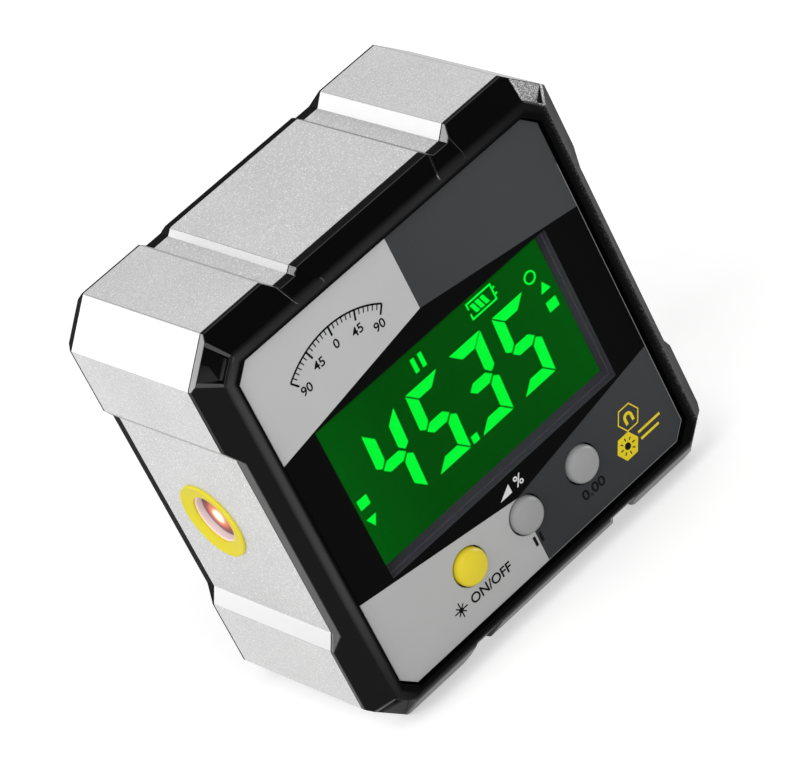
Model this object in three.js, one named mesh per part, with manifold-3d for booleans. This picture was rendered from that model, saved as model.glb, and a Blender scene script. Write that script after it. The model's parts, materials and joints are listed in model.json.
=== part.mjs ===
// A pocket digital inclinometer: a square aluminium measuring frame with a display and three buttons
// in its front cover, a laser in its left and right sides, and magnets behind its measuring pads.
// Millimetres. x runs to the right, y to the back and z up. Inside the assembly y is 0 at the front
// edge of the aluminium frame and z is 0 at mid height; the last lines move the origin to the middle
// of the foot.
import * as THREE from 'three';
import { ConvexGeometry } from 'three/addons/geometries/ConvexGeometry.js';
import { mergeVertices } from 'three/addons/utils/BufferGeometryUtils.js';
import Module from 'manifold-3d';

const wasm = await Module();
wasm.setup();

// Clearances that serve the whole object
const fitGap = 0.15; // between parts that slide into each other
const looseGap = 0.3; // between parts that only lie side by side
const overrun = 0.5; // how far a cut runs past what it cuts

// Facets of round shapes
const fineSides = 32;
const plainSides = 24;
const smallSides = 16;

// Aluminium frame
const faceSize = 60; // across opposite measuring sides
const frameDepth = 24.3; // front edge to back edge
const cornerCut = 5; // flat across each corner, measured along a side
const frameWall = 1.43; // thinnest wall, under the grooves
const cornerWall = 3.5; // wall across a corner flat
const padWidth = 9.5; // top and bottom measuring pads
const grooveDrop = 1.57; // depth of the grooves beside the pads
const grooveWidth = 2.36; // flat floor of a groove
const grooveOuterRun = 1.44; // slope from a pad down to the groove floor
const grooveInnerRun = 0.8; // slope from the groove floor up to the centre plate
const plateDrop = 0.86; // centre plate below the pads
const sidePadWidth = 9.3; // left and right measuring pads
const recessDrop = 1.25; // side recess below the pads
const recessRun = 2.1; // slope from a side pad down to the recess

// Covers
const coverDepth = 3.9; // how far a cover stands past the frame
const rimDepth = 0.5; // straight rim at a pad, before the band slopes in
const cornerRimDepth = 1.2; // the same at a corner
const bandShare = 0.925; // a side band's run inward for each length forward
const cornerBandShare = 0.96; // the same for a corner band
const lipRadius = 1.2; // round at the front of the band
const lipWidth = 1.264; // lip, from the band's line to the label recess
const cornerLipWidth = 1.63; // the same at a corner
const rearRimDepth = 0.2; // the rear cover's straight rim at a pad
const rearCornerRimDepth = 0.75; // the same at a corner
const rearBandShare = 1.1; // its side band's run inward for each length backward
const grooveRimDepth = 1.6; // straight rim in a groove, before its floor slopes in
const tailStep = 0.3; // floor of a groove below the band's line, at the front of the lip
const panelTaper = 1.1; // how much narrower the panel between the grooves is there, on each side
const tailLeanShare = 0.5; // lean of the wall beside that panel, for each length of its height
const ridgeWidth = 0.35; // ridges beside a corner pocket, at the rim
const pocketDepth = 0.9; // corner pocket at its lip end; it runs out at the rim
const pocketEndWidth = 2.3; // floor of the pocket at its lip end
const pocketLean = 0.45; // how far each side wall of the pocket leans out
const pocketRidge = 0.1; // between the pocket and the lip's round
const coverFloor = 1.8; // wall behind the label
const spigotDepth = 2.4; // part of a cover that plugs into the frame
const spigotWall = 1.6;
const rearFloor = 2; // wall of the rear cover
const rearSink = 0.4; // rear panel below the rear lip
const rearBoss = 1.2; // height of the rear cover's screw bosses

// Label, window and display
const labelThickness = 1;
const labelSink = 0.62; // label below the lip
const windowSide = 5.591; // label beside the window, at the left and at the right
const windowHeight = 22.85;
const windowDrop = 0.175; // window centre below the middle of the face
const windowLedge = 0.25; // edge of the cover that carries the pane
const paneThickness = 0.9;
const glassMargin = 1.9; // glass past the window at the left, the right and the lower edge
const glassTopMargin = 1.4;
const sheetThickness = 0.9; // each of the display's two glass sheets
const contactLedge = 1.4; // part of the front sheet that carries the contacts
const guideThickness = 2.6; // light guide
const lampThickness = 1.2; // lamp at the left edge of the guide
const lampHeight = 6;
const holderWall = 0.8;
const shelfDepth = 1.78; // shelf that carries the light guide, down to the board
const shelfWidth = 2.2;
const stripThickness = 1.1; // contact strip
const stripMargin = 3.6; // strip shorter than the glass, at each end

// Buttons and their switches
const buttonRadius = 2.45;
const buttonProud = 1.12; // cap above the label
const buttonDome = 0.22; // rise of the cap's crown
const buttonRound = 0.5; // radius at the cap's edge
const buttonPitch = 9.95;
const buttonDrop = 6.3; // button axis below the window's lower edge
const buttonGap = 0.22; // around a cap
const flangeWidth = 0.45; // flange that keeps the cap behind the cover
const flangeThickness = 0.7;
const flangeGap = 0.1;
const plungerRadius = 1.5;
const switchSize = 4.4;
const switchHeight = 2.8;
const stemRadius = 1.15;
const stemProud = 1.2; // stem in front of the switch
const stemSink = 1.4; // stem inside the switch
const stemRoom = 0.8; // space behind the stem

// Boards
const boardThickness = 1.2;
const boardGap = 0.65; // board edge to the cover's spigot
const chipSize = 7;
const chipHeight = 1.4;
const chipPins = 8; // on each side
const pinWidth = 0.3;
const pinReach = 1;
const pinHeight = 0.6;
const sensorSize = 4;
const sensorHeight = 1;
const chargeBoardWidth = 18;
const chargeMargin = 1.2; // below the charging board, to the chassis wall
const chargeBoardThickness = 1;
const postHeight = 4.6; // posts that carry the charging board
const postRadius = 1.8;
const chargerWidth = 5;
const chargerHeight = 4;
const chargerThickness = 1.4;

// Inner chassis, magnets and cover screws
const componentRoom = 2; // between the main board and the chassis plate
const plateThickness = 1.2;
const chassisWall = 1.2;
const magnetThickness = 3.3;
const magnetWidth = 6.6;
const magnetRib = 1;
const columnRadius = 2.4;
const screwRadius = 1;
const screwGrip = 4.4; // length of the screw in the front boss
const headRadius = 1.9;
const headHeight = 1.4;
const headSink = 0.3; // head below the rear panel
const crossWidth = 0.55; // arms of the driver recess
const crossLength = 2.2;
const crossDepth = 0.8;
const smallScrewRadius = 0.7;
const smallHeadRadius = 1.3;
const smallHeadHeight = 0.9;
const smallScrewLength = 4;

// Lasers
const barrelRadius = 3.8;
const barrelLength = 12;
const portRadius = 3.3; // bore in front of the lens
const portDepth = 0.5; // lens behind the barrel's front
const lensThickness = 1.1;
const lensDome = 0.35;
const diodeRadius = 2.6;
const diodeLength = 3.6;
const ringRadius = 5.4; // yellow ring in the side recess
const ringMouth = 3.5; // inner radius of the ring
const ringProud = 0.35; // ring above the recess
const ringDish = 0.35; // how far its face falls inward
const ringSleeve = 0.75; // wall of the sleeve through the frame
const sleeveReach = 0.9; // sleeve past the inside of the frame
const cradleFloor = 0.15; // barrel above the chassis plate
const cradleWall = 1.5;

// Battery and its plug
const padThickness = 0.6;
const batteryWidth = 24;
const batteryHeight = 28;
const batteryThickness = 8;
const batteryRound = 2.4;
const batteryRise = 4; // battery centre above the middle of the face
const tabHeight = 2; // sealed end of the cell
const tabThickness = 3;
const socketWidth = 6.8;
const socketHeight = 5;
const socketDepth = 3.8;
const socketWall = 0.6;
const plugLength = 4.8;
const plugDrop = 4.1; // plug axis below the lower end of the cell
const leadRadius = 0.5;
const leadSpread = 1.2; // battery leads from the middle

// Charging socket
const usbWidth = 7.5;
const usbHeight = 2.8;
const usbWall = 0.3;
const usbSink = 0.6; // mouth below the rear panel
const usbSlope = 0.9; // slanted lower corners
const tongueWidth = 4.6;
const tongueThickness = 0.7;
const tongueSink = 1; // tongue behind the mouth

// Places that follow from the sizes above
const half = faceSize / 2;
const cornerReach = (faceSize - cornerCut) / Math.SQRT2;
const boreHalf = half - Math.max(grooveDrop, recessDrop) - frameWall;
const boreReach = cornerReach - cornerWall;
const spigotHalf = boreHalf - fitGap;
const spigotReach = boreReach - fitGap;
const hollowHalf = spigotHalf - spigotWall;
const hollowReach = spigotReach - spigotWall;

const labelFront = labelSink - coverDepth;
const labelBack = labelFront + labelThickness;
const floorBack = labelBack + coverFloor;
const glassFront = floorBack + looseGap;
const glassBack = glassFront + 2 * sheetThickness;
const guideBack = glassBack + guideThickness;
const boardFront = guideBack + shelfDepth;
const boardBack = boardFront + boardThickness;
const plateFront = boardBack + componentRoom;
const plateBack = plateFront + plateThickness;
const rearFace = frameDepth + coverDepth - rearSink;
const rearInside = rearFace - rearFloor;
const columnEnd = rearInside - rearBoss;
const rearSpigotEnd = frameDepth - spigotDepth;

const lipInner = bandReach(coverDepth, half, rimDepth, bandShare, 0) - lipWidth;
const lipCornerLine = bandReach(coverDepth, cornerReach, cornerRimDepth, cornerBandShare, 0);
const lipInnerReach = lipCornerLine - cornerLipWidth;
const labelHalf = lipInner - looseGap;
const labelReach = lipInnerReach - looseGap;

const windowWidth = 2 * (labelHalf - windowSide);
const windowTop = windowHeight / 2 - windowDrop;
const windowBottom = -windowHeight / 2 - windowDrop;
const glassHalf = windowWidth / 2 + glassMargin;
const glassTop = windowTop + glassTopMargin;
const glassBottom = windowBottom - glassMargin;
const buttonRow = windowBottom - buttonDrop;
const switchFront = boardFront - switchHeight;
const stemFront = switchFront - stemProud;

const wallOuter = boreHalf - looseGap - magnetThickness;
const wallInner = wallOuter - chassisWall;
const screwPlace = wallOuter - columnRadius - fitGap;
const cradleRadius = barrelRadius + fitGap;
const laserPlace = plateBack + cradleFloor + cradleRadius;
const recessPlane = half - recessDrop;
const barrelFront = recessPlane + ringProud - ringDish - 2 * fitGap;
const barrelBack = barrelFront - barrelLength;
const sleeveRadius = cradleRadius + ringSleeve;
const sleeveEnd = boreHalf - sleeveReach;

const batteryFront = plateBack + padThickness;
const batteryBottom = batteryRise - batteryHeight / 2;
const plugPlace = batteryBottom - tabHeight - plugDrop;
const chargeBack = rearInside - postHeight;
const chargeFront = chargeBack - chargeBoardThickness;
const chargeTop = batteryBottom - looseGap - headSink;
const chargeBottom = chargeMargin - wallInner;
const chargeMiddle = (chargeTop + chargeBottom) / 2;
const postPlace = chargeBoardWidth / 2 - postRadius;

// Solids and their joins

function toSolid(shape) {
  if (!(shape instanceof THREE.BufferGeometry)) return shape;
  const bare = shape.clone();
  bare.deleteAttribute('normal');
  bare.deleteAttribute('uv');
  const merged = mergeVertices(bare);
  return new wasm.Manifold(new wasm.Mesh({
    numProp: 3,
    vertProperties: new Float32Array(merged.attributes.position.array),
    triVerts: new Uint32Array(merged.index.array),
  }));
}

function toGeometry(shape) {
  if (shape instanceof THREE.BufferGeometry) return shape;
  const mesh = shape.getMesh();
  const geometry = new THREE.BufferGeometry();
  geometry.setAttribute('position', new THREE.BufferAttribute(mesh.vertProperties.slice(), 3));
  geometry.setIndex(new THREE.BufferAttribute(mesh.triVerts.slice(), 1));
  geometry.computeVertexNormals();
  return geometry;
}

function join(first, ...others) {
  return others.reduce((body, other) => body.add(toSolid(other)), toSolid(first));
}

function cut(first, ...tools) {
  return tools.reduce((body, tool) => body.subtract(toSolid(tool)), toSolid(first));
}

function common(first, second) {
  return toSolid(first).intersect(toSolid(second));
}

// A block between two corners
function block(x0, x1, y0, y1, z0, z1) {
  const box = new THREE.BoxGeometry(x1 - x0, y1 - y0, z1 - z0);
  return box.translate((x0 + x1) / 2, (y0 + y1) / 2, (z0 + z1) / 2);
}

// An outline in x and z, drawn out along y
function prism(outline, y0, y1, holes = []) {
  const shape = new THREE.Shape(outline);
  shape.holes = holes.map((hole) => new THREE.Path(hole));
  const geometry = new THREE.ExtrudeGeometry(shape, { depth: y1 - y0, bevelEnabled: false });
  return geometry.rotateX(Math.PI / 2).translate(0, y1, 0);
}

// A round bar along y
function rod(radius, y0, y1, x, z, sides = plainSides) {
  return new THREE.CylinderGeometry(radius, radius, y1 - y0, sides).translate(x, (y0 + y1) / 2, z);
}

// A profile of radius and height, turned round y
function turned(profile, sides = fineSides) {
  const points = profile.map(([radius, height]) => new THREE.Vector2(radius, height));
  return new THREE.LatheGeometry(points, sides);
}

// Two distances from the middle, taken to the given side, the lower value first
function onSide(sign, inner, outer) {
  return [inner * sign, outer * sign].sort((first, second) => first - second);
}

// A turned shape whose axis lies along x, pointing outward on the given side
function sideways(geometry, side) {
  return geometry.rotateZ(-side * Math.PI / 2);
}

// Mirrors a quarter of an outline, given from the top to the right, into the whole
function fourfold(quarter) {
  const back = [...quarter].reverse();
  return [
    ...quarter.map(([x, z]) => new THREE.Vector2(-x, z)),
    ...back.map(([x, z]) => new THREE.Vector2(-x, -z)),
    ...quarter.map(([x, z]) => new THREE.Vector2(x, -z)),
    ...back.map(([x, z]) => new THREE.Vector2(x, z)),
  ];
}

// A square with cut corners: half its width, and the distance of the corner flats from the middle
function octagon(halfWidth, reach) {
  const shoulder = reach * Math.SQRT2 - halfWidth;
  return fourfold([[shoulder, halfWidth], [halfWidth, shoulder]]);
}

function rectangle(x0, x1, z0, z1) {
  return [[x0, z0], [x1, z0], [x1, z1], [x0, z1]].map(([x, z]) => new THREE.Vector2(x, z));
}

// A rounded rectangle, as a shape's points
function roundedRectangle(x0, x1, z0, z1, radius, steps = 4) {
  const centres = [[x1, z1, 0], [x0, z1, 1], [x0, z0, 2], [x1, z0, 3]];
  return centres.flatMap(([x, z, turn]) => Array.from({ length: steps + 1 }, (_, step) => {
    const angle = (turn + step / steps) * Math.PI / 2;
    const inX = x - Math.sign(x - x0 || -1) * radius;
    const inZ = z - Math.sign(z - z0 || -1) * radius;
    return new THREE.Vector2(inX + radius * Math.cos(angle), inZ + radius * Math.sin(angle));
  }));
}

// Section of the frame, which the covers share
const plateHalf = half - cornerCut - padWidth - grooveOuterRun - grooveWidth - grooveInnerRun;
const frameOutline = fourfold([
  [plateHalf, half - plateDrop],
  [plateHalf + grooveInnerRun, half - grooveDrop],
  [plateHalf + grooveInnerRun + grooveWidth, half - grooveDrop],
  [half - cornerCut - padWidth, half],
  [half - cornerCut, half],
  [half, half - cornerCut],
  [half, half - cornerCut - sidePadWidth],
  [half - recessDrop, half - cornerCut - sidePadWidth - recessRun],
]);

const corners = [
  { name: 'upper_right', x: 1, z: 1 },
  { name: 'upper_left', x: -1, z: 1 },
  { name: 'lower_left', x: -1, z: -1 },
  { name: 'lower_right', x: 1, z: -1 },
];
const sides = [{ name: 'left', x: -1 }, { name: 'right', x: 1 }];
const buttons = [
  { name: 'power', x: -buttonPitch, color: 0xf0e22e },
  { name: 'hold', x: 0, color: 0x9b9c9e },
  { name: 'zero', x: buttonPitch, color: 0x9b9c9e },
];

// The assembly, and the call that adds a named piece to it
const assembly = new THREE.Group();

function add(name, shape, color, roughness, metalness, extra = {}) {
  const material = new THREE.MeshStandardMaterial({ color, roughness, metalness, ...extra });
  const mesh = new THREE.Mesh(toGeometry(shape), material);
  mesh.name = name;
  assembly.add(mesh);
}

// Aluminium frame: one extruded ring, drilled at both sides for the lasers
function makeFrame() {
  const ring = prism(frameOutline, 0, frameDepth, [octagon(boreHalf, boreReach)]);
  const drillRadius = sleeveRadius + fitGap;
  const drill = new THREE.CylinderGeometry(drillRadius, drillRadius, 2 * faceSize, fineSides);
  return cut(ring, sideways(drill, 1).translate(0, laserPlace, 0));
}

// Distance of a band from the middle at a height above the frame: a straight slope, then the lip's round
function bandReach(height, reach, start, share, round) {
  const slant = Math.hypot(1, share);
  const centreHeight = coverDepth - round;
  const touch = centreHeight + round * share / slant;
  if (height <= touch) return reach - share * (height - start);
  const centre = reach - share * (centreHeight - start) - round * slant;
  return centre + Math.sqrt(Math.max(round ** 2 - (height - centreHeight) ** 2, 0));
}

// Where the side band runs into the lip's round
const lipStart = coverDepth - lipRadius + lipRadius * bandShare / Math.hypot(1, bandShare);
const lipSteps = 3;

// The sloping envelope of a cover, as the hull of its sections
function bandEnvelope() {
  const heights = [0];
  const firstAngle = Math.asin(bandShare / Math.hypot(1, bandShare));
  for (let step = 0; step <= lipSteps; step += 1) {
    const angle = firstAngle + (Math.PI / 2 - firstAngle) * step / lipSteps;
    heights.push(coverDepth - lipRadius + lipRadius * Math.sin(angle));
  }
  return new ConvexGeometry(heights.flatMap((height) => {
    const side = bandReach(height, half, rimDepth, bandShare, lipRadius);
    const corner = bandReach(height, cornerReach, cornerRimDepth, cornerBandShare, lipRadius);
    return octagon(side, corner).map((point) => new THREE.Vector3(point.x, -height, point.y));
  }));
}

// The recess in one corner band: it starts at the rim and deepens towards the lip
function cornerPocket({ x: signX, z: signZ }) {
  const slant = Math.hypot(1, cornerBandShare);
  const endHeight = lipStart - pocketRidge;
  const startHeight = cornerRimDepth - overrun;
  const startLift = pocketDepth * overrun / (endHeight - cornerRimDepth);
  const startSide = bandReach(startHeight, half, rimDepth, bandShare, 0);
  const startCorner = bandReach(startHeight, cornerReach, cornerRimDepth, cornerBandShare, 0);
  const startWidth = startSide * Math.SQRT2 - startCorner - ridgeWidth;
  const points = [];
  for (const [height, lift, floorWidth] of [
    [startHeight, startLift, startWidth],
    [endHeight, -pocketDepth, pocketEndWidth / 2],
  ]) {
    const corner = bandReach(height, cornerReach, cornerRimDepth, cornerBandShare, 0);
    for (const rise of [0, pocketDepth + overrun]) {
      const out = corner + (lift + rise) / slant;
      const up = height + (lift + rise) * cornerBandShare / slant;
      const width = floorWidth + pocketLean * rise / pocketDepth;
      for (const along of [-width, width]) {
        const x = (out + along) / Math.SQRT2;
        const z = (out - along) / Math.SQRT2;
        points.push(new THREE.Vector3(signX * x, -up, signZ * z));
      }
    }
  }
  return new ConvexGeometry(points);
}

// Where a groove of the frame runs on across the band and out at the lip
function grooveTail({ x: signX, z: signZ }) {
  const floor = half - grooveDrop;
  const endFloor = bandReach(coverDepth, half, rimDepth, bandShare, 0) - tailStep;
  const fall = (floor - endFloor) / (coverDepth - grooveRimDepth);
  const inner = plateHalf + grooveInnerRun;
  const outer = inner + grooveWidth;
  const points = [];
  for (const [height, floorPlace, innerPlace] of [
    [grooveRimDepth - overrun, floor + fall * overrun, inner],
    [coverDepth, endFloor, plateHalf - panelTaper],
  ]) {
    for (const [x, z] of [
      [innerPlace, floorPlace],
      [outer, floorPlace],
      [innerPlace - tailLeanShare * grooveDrop, floorPlace + grooveDrop],
      [outer + grooveOuterRun, floorPlace + grooveDrop],
    ]) points.push(new THREE.Vector3(signX * x, -height, signZ * z));
  }
  return new ConvexGeometry(points);
}

// What both covers share: the frame's outline under the sloping envelope, its grooves and its pockets
function coverBody() {
  const body = common(prism(frameOutline, -coverDepth, 0), bandEnvelope());
  return cut(body, ...corners.map(grooveTail), ...corners.map(cornerPocket));
}

// The ring that plugs into the frame, open at both sides for the laser sleeves
function spigot(y0, y1) {
  const ring = prism(octagon(spigotHalf, spigotReach), y0, y1, [octagon(hollowHalf, hollowReach)]);
  const gate = sleeveRadius + looseGap;
  return cut(ring, block(-half, half, y0 - overrun, y1 + overrun, -gate, gate));
}

function makeFrontCover() {
  const windowHalf = windowWidth / 2 - windowLedge;
  let cover = join(coverBody(), spigot(-overrun, spigotDepth));
  cover = cut(
    cover,
    prism(octagon(lipInner, lipInnerReach), -coverDepth - overrun, labelBack),
    prism(octagon(hollowHalf, hollowReach), floorBack, overrun),
    block(-windowHalf, windowHalf, labelBack - overrun, floorBack + overrun,
      windowBottom + windowLedge, windowTop - windowLedge),
    ...buttons.map(({ x }) => (
      rod(buttonRadius + buttonGap, labelBack - overrun, floorBack + overrun, x, buttonRow))),
  );
  const screwTip = boardFront - screwGrip;
  for (const { x, z } of corners) {
    const place = [x * screwPlace, z * screwPlace];
    cover = join(cover, rod(columnRadius, floorBack - overrun, boardFront, ...place));
    const pilotEnd = boardFront + overrun;
    cover = cut(cover, rod(screwRadius + fitGap, screwTip - looseGap, pilotEnd, ...place, smallSides));
  }
  return cover;
}

// The rear band starts nearer to the frame and slopes in faster, which leaves a thinner rim
function rearEnvelope() {
  return new ConvexGeometry([0, coverDepth].flatMap((height) => {
    const side = bandReach(height, half, rearRimDepth, rearBandShare, 0);
    const corner = bandReach(height, cornerReach, rearCornerRimDepth, cornerBandShare, 0);
    return octagon(side, corner).map((point) => new THREE.Vector3(point.x, -height, point.y));
  }));
}

function makeRearCover() {
  const slimBody = common(coverBody(), rearEnvelope());
  const body = toGeometry(slimBody).rotateZ(Math.PI).translate(0, frameDepth, 0);
  let cover = join(body, spigot(rearSpigotEnd, frameDepth + overrun));
  cover = cut(
    cover,
    prism(octagon(lipInner, lipInnerReach), rearFace, frameDepth + coverDepth + overrun),
    prism(octagon(hollowHalf, hollowReach), frameDepth - overrun, rearInside),
  );
  for (const { x, z } of corners) {
    const place = [x * screwPlace, z * screwPlace];
    cover = join(cover, rod(columnRadius, columnEnd, rearInside + overrun, ...place));
    cover = cut(
      cover,
      rod(screwRadius + fitGap, columnEnd - overrun, rearFace + overrun, ...place, smallSides),
      rod(headRadius + fitGap, rearFace - headSink - headHeight, rearFace + overrun, ...place),
    );
  }
  for (const { x } of sides) {
    const place = [x * postPlace, chargeMiddle];
    cover = join(cover, rod(postRadius, chargeBack, rearInside + overrun, ...place));
    const pilot = rod(smallScrewRadius + fitGap, chargeBack - overrun, rearInside, ...place, smallSides);
    cover = cut(cover, pilot);
  }
  const slot = usbOutline(looseGap);
  return cut(cover, prism(slot, rearInside - overrun, rearFace + overrun));
}

// Label and clear pane
function makeLabel() {
  const opening = rectangle(-windowWidth / 2, windowWidth / 2, windowBottom, windowTop);
  const plate = prism(octagon(labelHalf, labelReach), labelFront, labelBack, [opening]);
  const holes = buttons.map(({ x }) => (
    rod(buttonRadius + buttonGap, labelFront - overrun, labelBack + overrun, x, buttonRow, fineSides)));
  return cut(plate, ...holes);
}

function makePane() {
  const edge = windowWidth / 2 - fitGap;
  return block(-edge, edge, labelBack - paneThickness, labelBack, windowBottom + fitGap, windowTop - fitGap);
}

// Display, light guide and the holder round them
function makeGlass() {
  const step = glassFront + sheetThickness;
  const frontSheet = block(-glassHalf, glassHalf, glassFront, step, glassBottom, glassTop);
  const ledge = glassBottom + contactLedge;
  return join(frontSheet, block(-glassHalf, glassHalf, glassFront, glassBack, ledge, glassTop));
}

const guideLeft = -glassHalf + lampThickness;
const stripTop = glassBottom + stripThickness + fitGap;

function makeGuide() {
  return block(guideLeft, glassHalf, glassBack, guideBack, glassBottom + contactLedge + fitGap, glassTop);
}

function makeLamp() {
  const high = lampHeight / 2;
  return block(-glassHalf, guideLeft, glassBack, guideBack, -windowDrop - high, high - windowDrop);
}

function makeStrip() {
  const end = glassHalf - stripMargin;
  return block(-end, end, glassFront + sheetThickness, boardFront, glassBottom + fitGap, stripTop);
}

function makeHolder() {
  const inner = glassHalf + fitGap;
  const top = glassTop + fitGap;
  const bottom = glassBottom - fitGap;
  const outer = inner + holderWall;
  const outline = rectangle(-outer, outer, bottom - holderWall, top + holderWall);
  const frame = prism(outline, floorBack, boardFront);
  const pocket = block(-inner, inner, floorBack - overrun, guideBack, bottom, top);
  const opening = block(shelfWidth - inner, inner - shelfWidth, guideBack - overrun, boardFront + overrun,
    stripTop + fitGap + shelfWidth / 2, top - shelfWidth);
  const slotEnd = glassHalf - stripMargin + fitGap;
  const slot = block(-slotEnd, slotEnd, guideBack - overrun, boardFront + overrun,
    bottom, stripTop + fitGap);
  return cut(frame, pocket, opening, slot);
}

// A button: domed cap, flange behind the cover, and plunger
function makeButton(x) {
  const capFront = labelFront - buttonProud;
  const flangeFront = floorBack + flangeGap;
  const flangeBack = flangeFront + flangeThickness;
  const flangeRadius = buttonRadius + flangeWidth;
  const shoulder = capFront + buttonDome;
  const profile = [[0, stemFront], [plungerRadius, stemFront], [plungerRadius, flangeBack],
    [flangeRadius, flangeBack], [flangeRadius, flangeFront], [buttonRadius, flangeFront]];
  const roundSteps = 3;
  for (let step = 0; step <= roundSteps; step += 1) {
    const angle = Math.PI / 2 * step / roundSteps;
    profile.push([buttonRadius - buttonRound * (1 - Math.cos(angle)),
      shoulder + buttonRound * (1 - Math.sin(angle))]);
  }
  const crown = buttonRadius - buttonRound;
  const crownSteps = 2;
  for (let step = 1; step <= crownSteps; step += 1) {
    const share = 1 - step / crownSteps;
    profile.push([crown * share, shoulder - buttonDome * (1 - share ** 2)]);
  }
  return turned(profile.reverse()).translate(x, 0, buttonRow);
}

function makeSwitch(x) {
  const side = switchSize / 2;
  const body = block(x - side, x + side, switchFront, boardFront, buttonRow - side, buttonRow + side);
  const wellFloor = switchFront + stemSink + stemRoom;
  return cut(body, rod(stemRadius + fitGap, switchFront - overrun, wellFloor, x, buttonRow));
}

function makeStem(x) {
  return rod(stemRadius, stemFront, switchFront + stemSink, x, buttonRow);
}

// Main board and what is soldered to it
function makeMainBoard() {
  const plate = prism(octagon(hollowHalf - boardGap, hollowReach - boardGap), boardFront, boardBack);
  const [holeStart, holeEnd] = [boardFront - overrun, boardBack + overrun];
  const holes = corners.map(({ x, z }) => (
    rod(screwRadius + looseGap, holeStart, holeEnd, x * screwPlace, z * screwPlace)));
  return cut(plate, ...holes);
}

const chipPlace = [-chipSize, chipSize];
const sensorPlace = [chipSize, chipSize];

function makeChip() {
  const [x, z] = chipPlace;
  const side = chipSize / 2;
  let chip = block(x - side, x + side, boardBack, boardBack + chipHeight, z - side, z + side);
  for (let pin = 0; pin < chipPins; pin += 1) {
    const along = (pin - (chipPins - 1) / 2) * chipSize / (chipPins + 1);
    const reach = side + pinReach;
    const edge = pinWidth / 2;
    chip = join(
      chip,
      block(x - reach, x + reach, boardBack, boardBack + pinHeight, z + along - edge, z + along + edge),
      block(x + along - edge, x + along + edge, boardBack, boardBack + pinHeight, z - reach, z + reach),
    );
  }
  return chip;
}

function makeSensor() {
  const [x, z] = sensorPlace;
  const side = sensorSize / 2;
  return block(x - side, x + side, boardBack, boardBack + sensorHeight, z - side, z + side);
}

function makeSocket() {
  const wide = socketWidth / 2;
  const high = socketHeight / 2;
  const outer = block(-wide, wide, boardBack, boardBack + socketDepth, plugPlace - high, plugPlace + high);
  const inWide = wide - socketWall;
  const inHigh = high - socketWall;
  return cut(outer, block(-inWide, inWide, boardBack + 2 * socketWall, boardBack + socketDepth + overrun,
    plugPlace - inHigh, plugPlace + inHigh));
}

const plugFront = boardBack + 2 * socketWall;
const plugBack = plugFront + plugLength;

function makePlug() {
  const wide = socketWidth / 2 - socketWall - fitGap;
  const high = socketHeight / 2 - socketWall - fitGap;
  return block(-wide, wide, plugFront, plugBack, plugPlace - high, plugPlace + high);
}

// Chassis: plate, four columns, four walls with ribs between the magnets, and two laser cradles
const ribInner = half - cornerCut - padWidth;
const magnetStart = ribInner + magnetRib - 2 * fitGap;
const magnetEnd = rearSpigotEnd - looseGap;
const cradleHalf = cradleRadius + cradleWall;
const cradleEnd = barrelBack + looseGap;

function makeChassis() {
  const plateHalfWidth = boreHalf - looseGap;
  let chassis = toSolid(prism(octagon(plateHalfWidth, boreReach - looseGap), plateFront, plateBack));
  const wallEnd = columnEnd - rearBoss;
  const [wallOutside, wallInside] = [wallOuter, wallInner].map((reach) => (
    octagon(reach, reach * Math.SQRT2 - chassisWall)));
  chassis = join(chassis, prism(wallOutside, plateBack - overrun, wallEnd, [wallInside]));
  for (const side of [-1, 1]) {
    for (const sign of [-1, 1]) {
      const [rib0, rib1] = onSide(side, magnetStart - magnetRib, magnetStart - fitGap);
      const [out0, out1] = onSide(sign, wallOuter - chassisWall / 2, plateHalfWidth);
      chassis = join(
        chassis,
        block(rib0, rib1, plateBack - overrun, magnetEnd, out0, out1),
        block(out0, out1, plateBack - overrun, magnetEnd, rib0, rib1),
      );
    }
  }
  for (const { x, z } of corners) {
    chassis = join(chassis, rod(columnRadius, boardBack, columnEnd, x * screwPlace, z * screwPlace));
  }
  for (const { x } of sides) {
    const [x0, x1] = onSide(x, cradleEnd, wallOuter);
    const cradle = block(x0, x1, plateBack - overrun, laserPlace + cradleHalf, -cradleHalf, cradleHalf);
    const bore = new THREE.CylinderGeometry(cradleRadius, cradleRadius, faceSize, fineSides);
    const wayRadius = sleeveRadius + looseGap;
    const sleeveWay = new THREE.CylinderGeometry(wayRadius, wayRadius, faceSize, fineSides);
    chassis = cut(
      join(chassis, cradle),
      sideways(bore, x).translate(x * (cradleEnd + half), laserPlace, 0),
      sideways(sleeveWay, x).translate(x * (sleeveEnd - looseGap + half), laserPlace, 0),
    );
  }
  for (const { x, z } of corners) {
    chassis = cut(chassis, rod(screwRadius + looseGap, boardBack - overrun, columnEnd + overrun,
      x * screwPlace, z * screwPlace));
  }
  const ribFoot = batteryWidth / 2 + looseGap;
  const ribTop = batteryRise + batteryHeight / 2 + looseGap;
  const ribBack = batteryFront + batteryThickness / 2;
  for (const { x } of sides) {
    const [x0, x1] = onSide(x, ribFoot, ribFoot + magnetRib);
    chassis = join(chassis, block(x0, x1, plateBack - overrun, ribBack, cradleHalf, ribTop));
  }
  const ribEnd = ribFoot + magnetRib;
  chassis = join(chassis, block(-ribEnd, ribEnd, plateBack - overrun, ribBack, ribTop, ribTop + magnetRib));
  return cut(chassis, ...leadWays());
}

// Openings in the chassis plate for the plug and the leads
function leadWays() {
  const wide = socketWidth / 2 + 4 * leadRadius + looseGap;
  const high = socketHeight / 2 + looseGap;
  const y0 = plateFront - overrun;
  const y1 = plateBack + overrun;
  const way = leadRadius + looseGap;
  const ways = sides.map(({ x }) => {
    const centre = x * leadDrop;
    return block(centre - way, centre + way, y0, y1, -way, way);
  });
  return [block(-wide, wide, y0, y1, plugPlace - high, plugPlace + high), ...ways];
}

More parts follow.
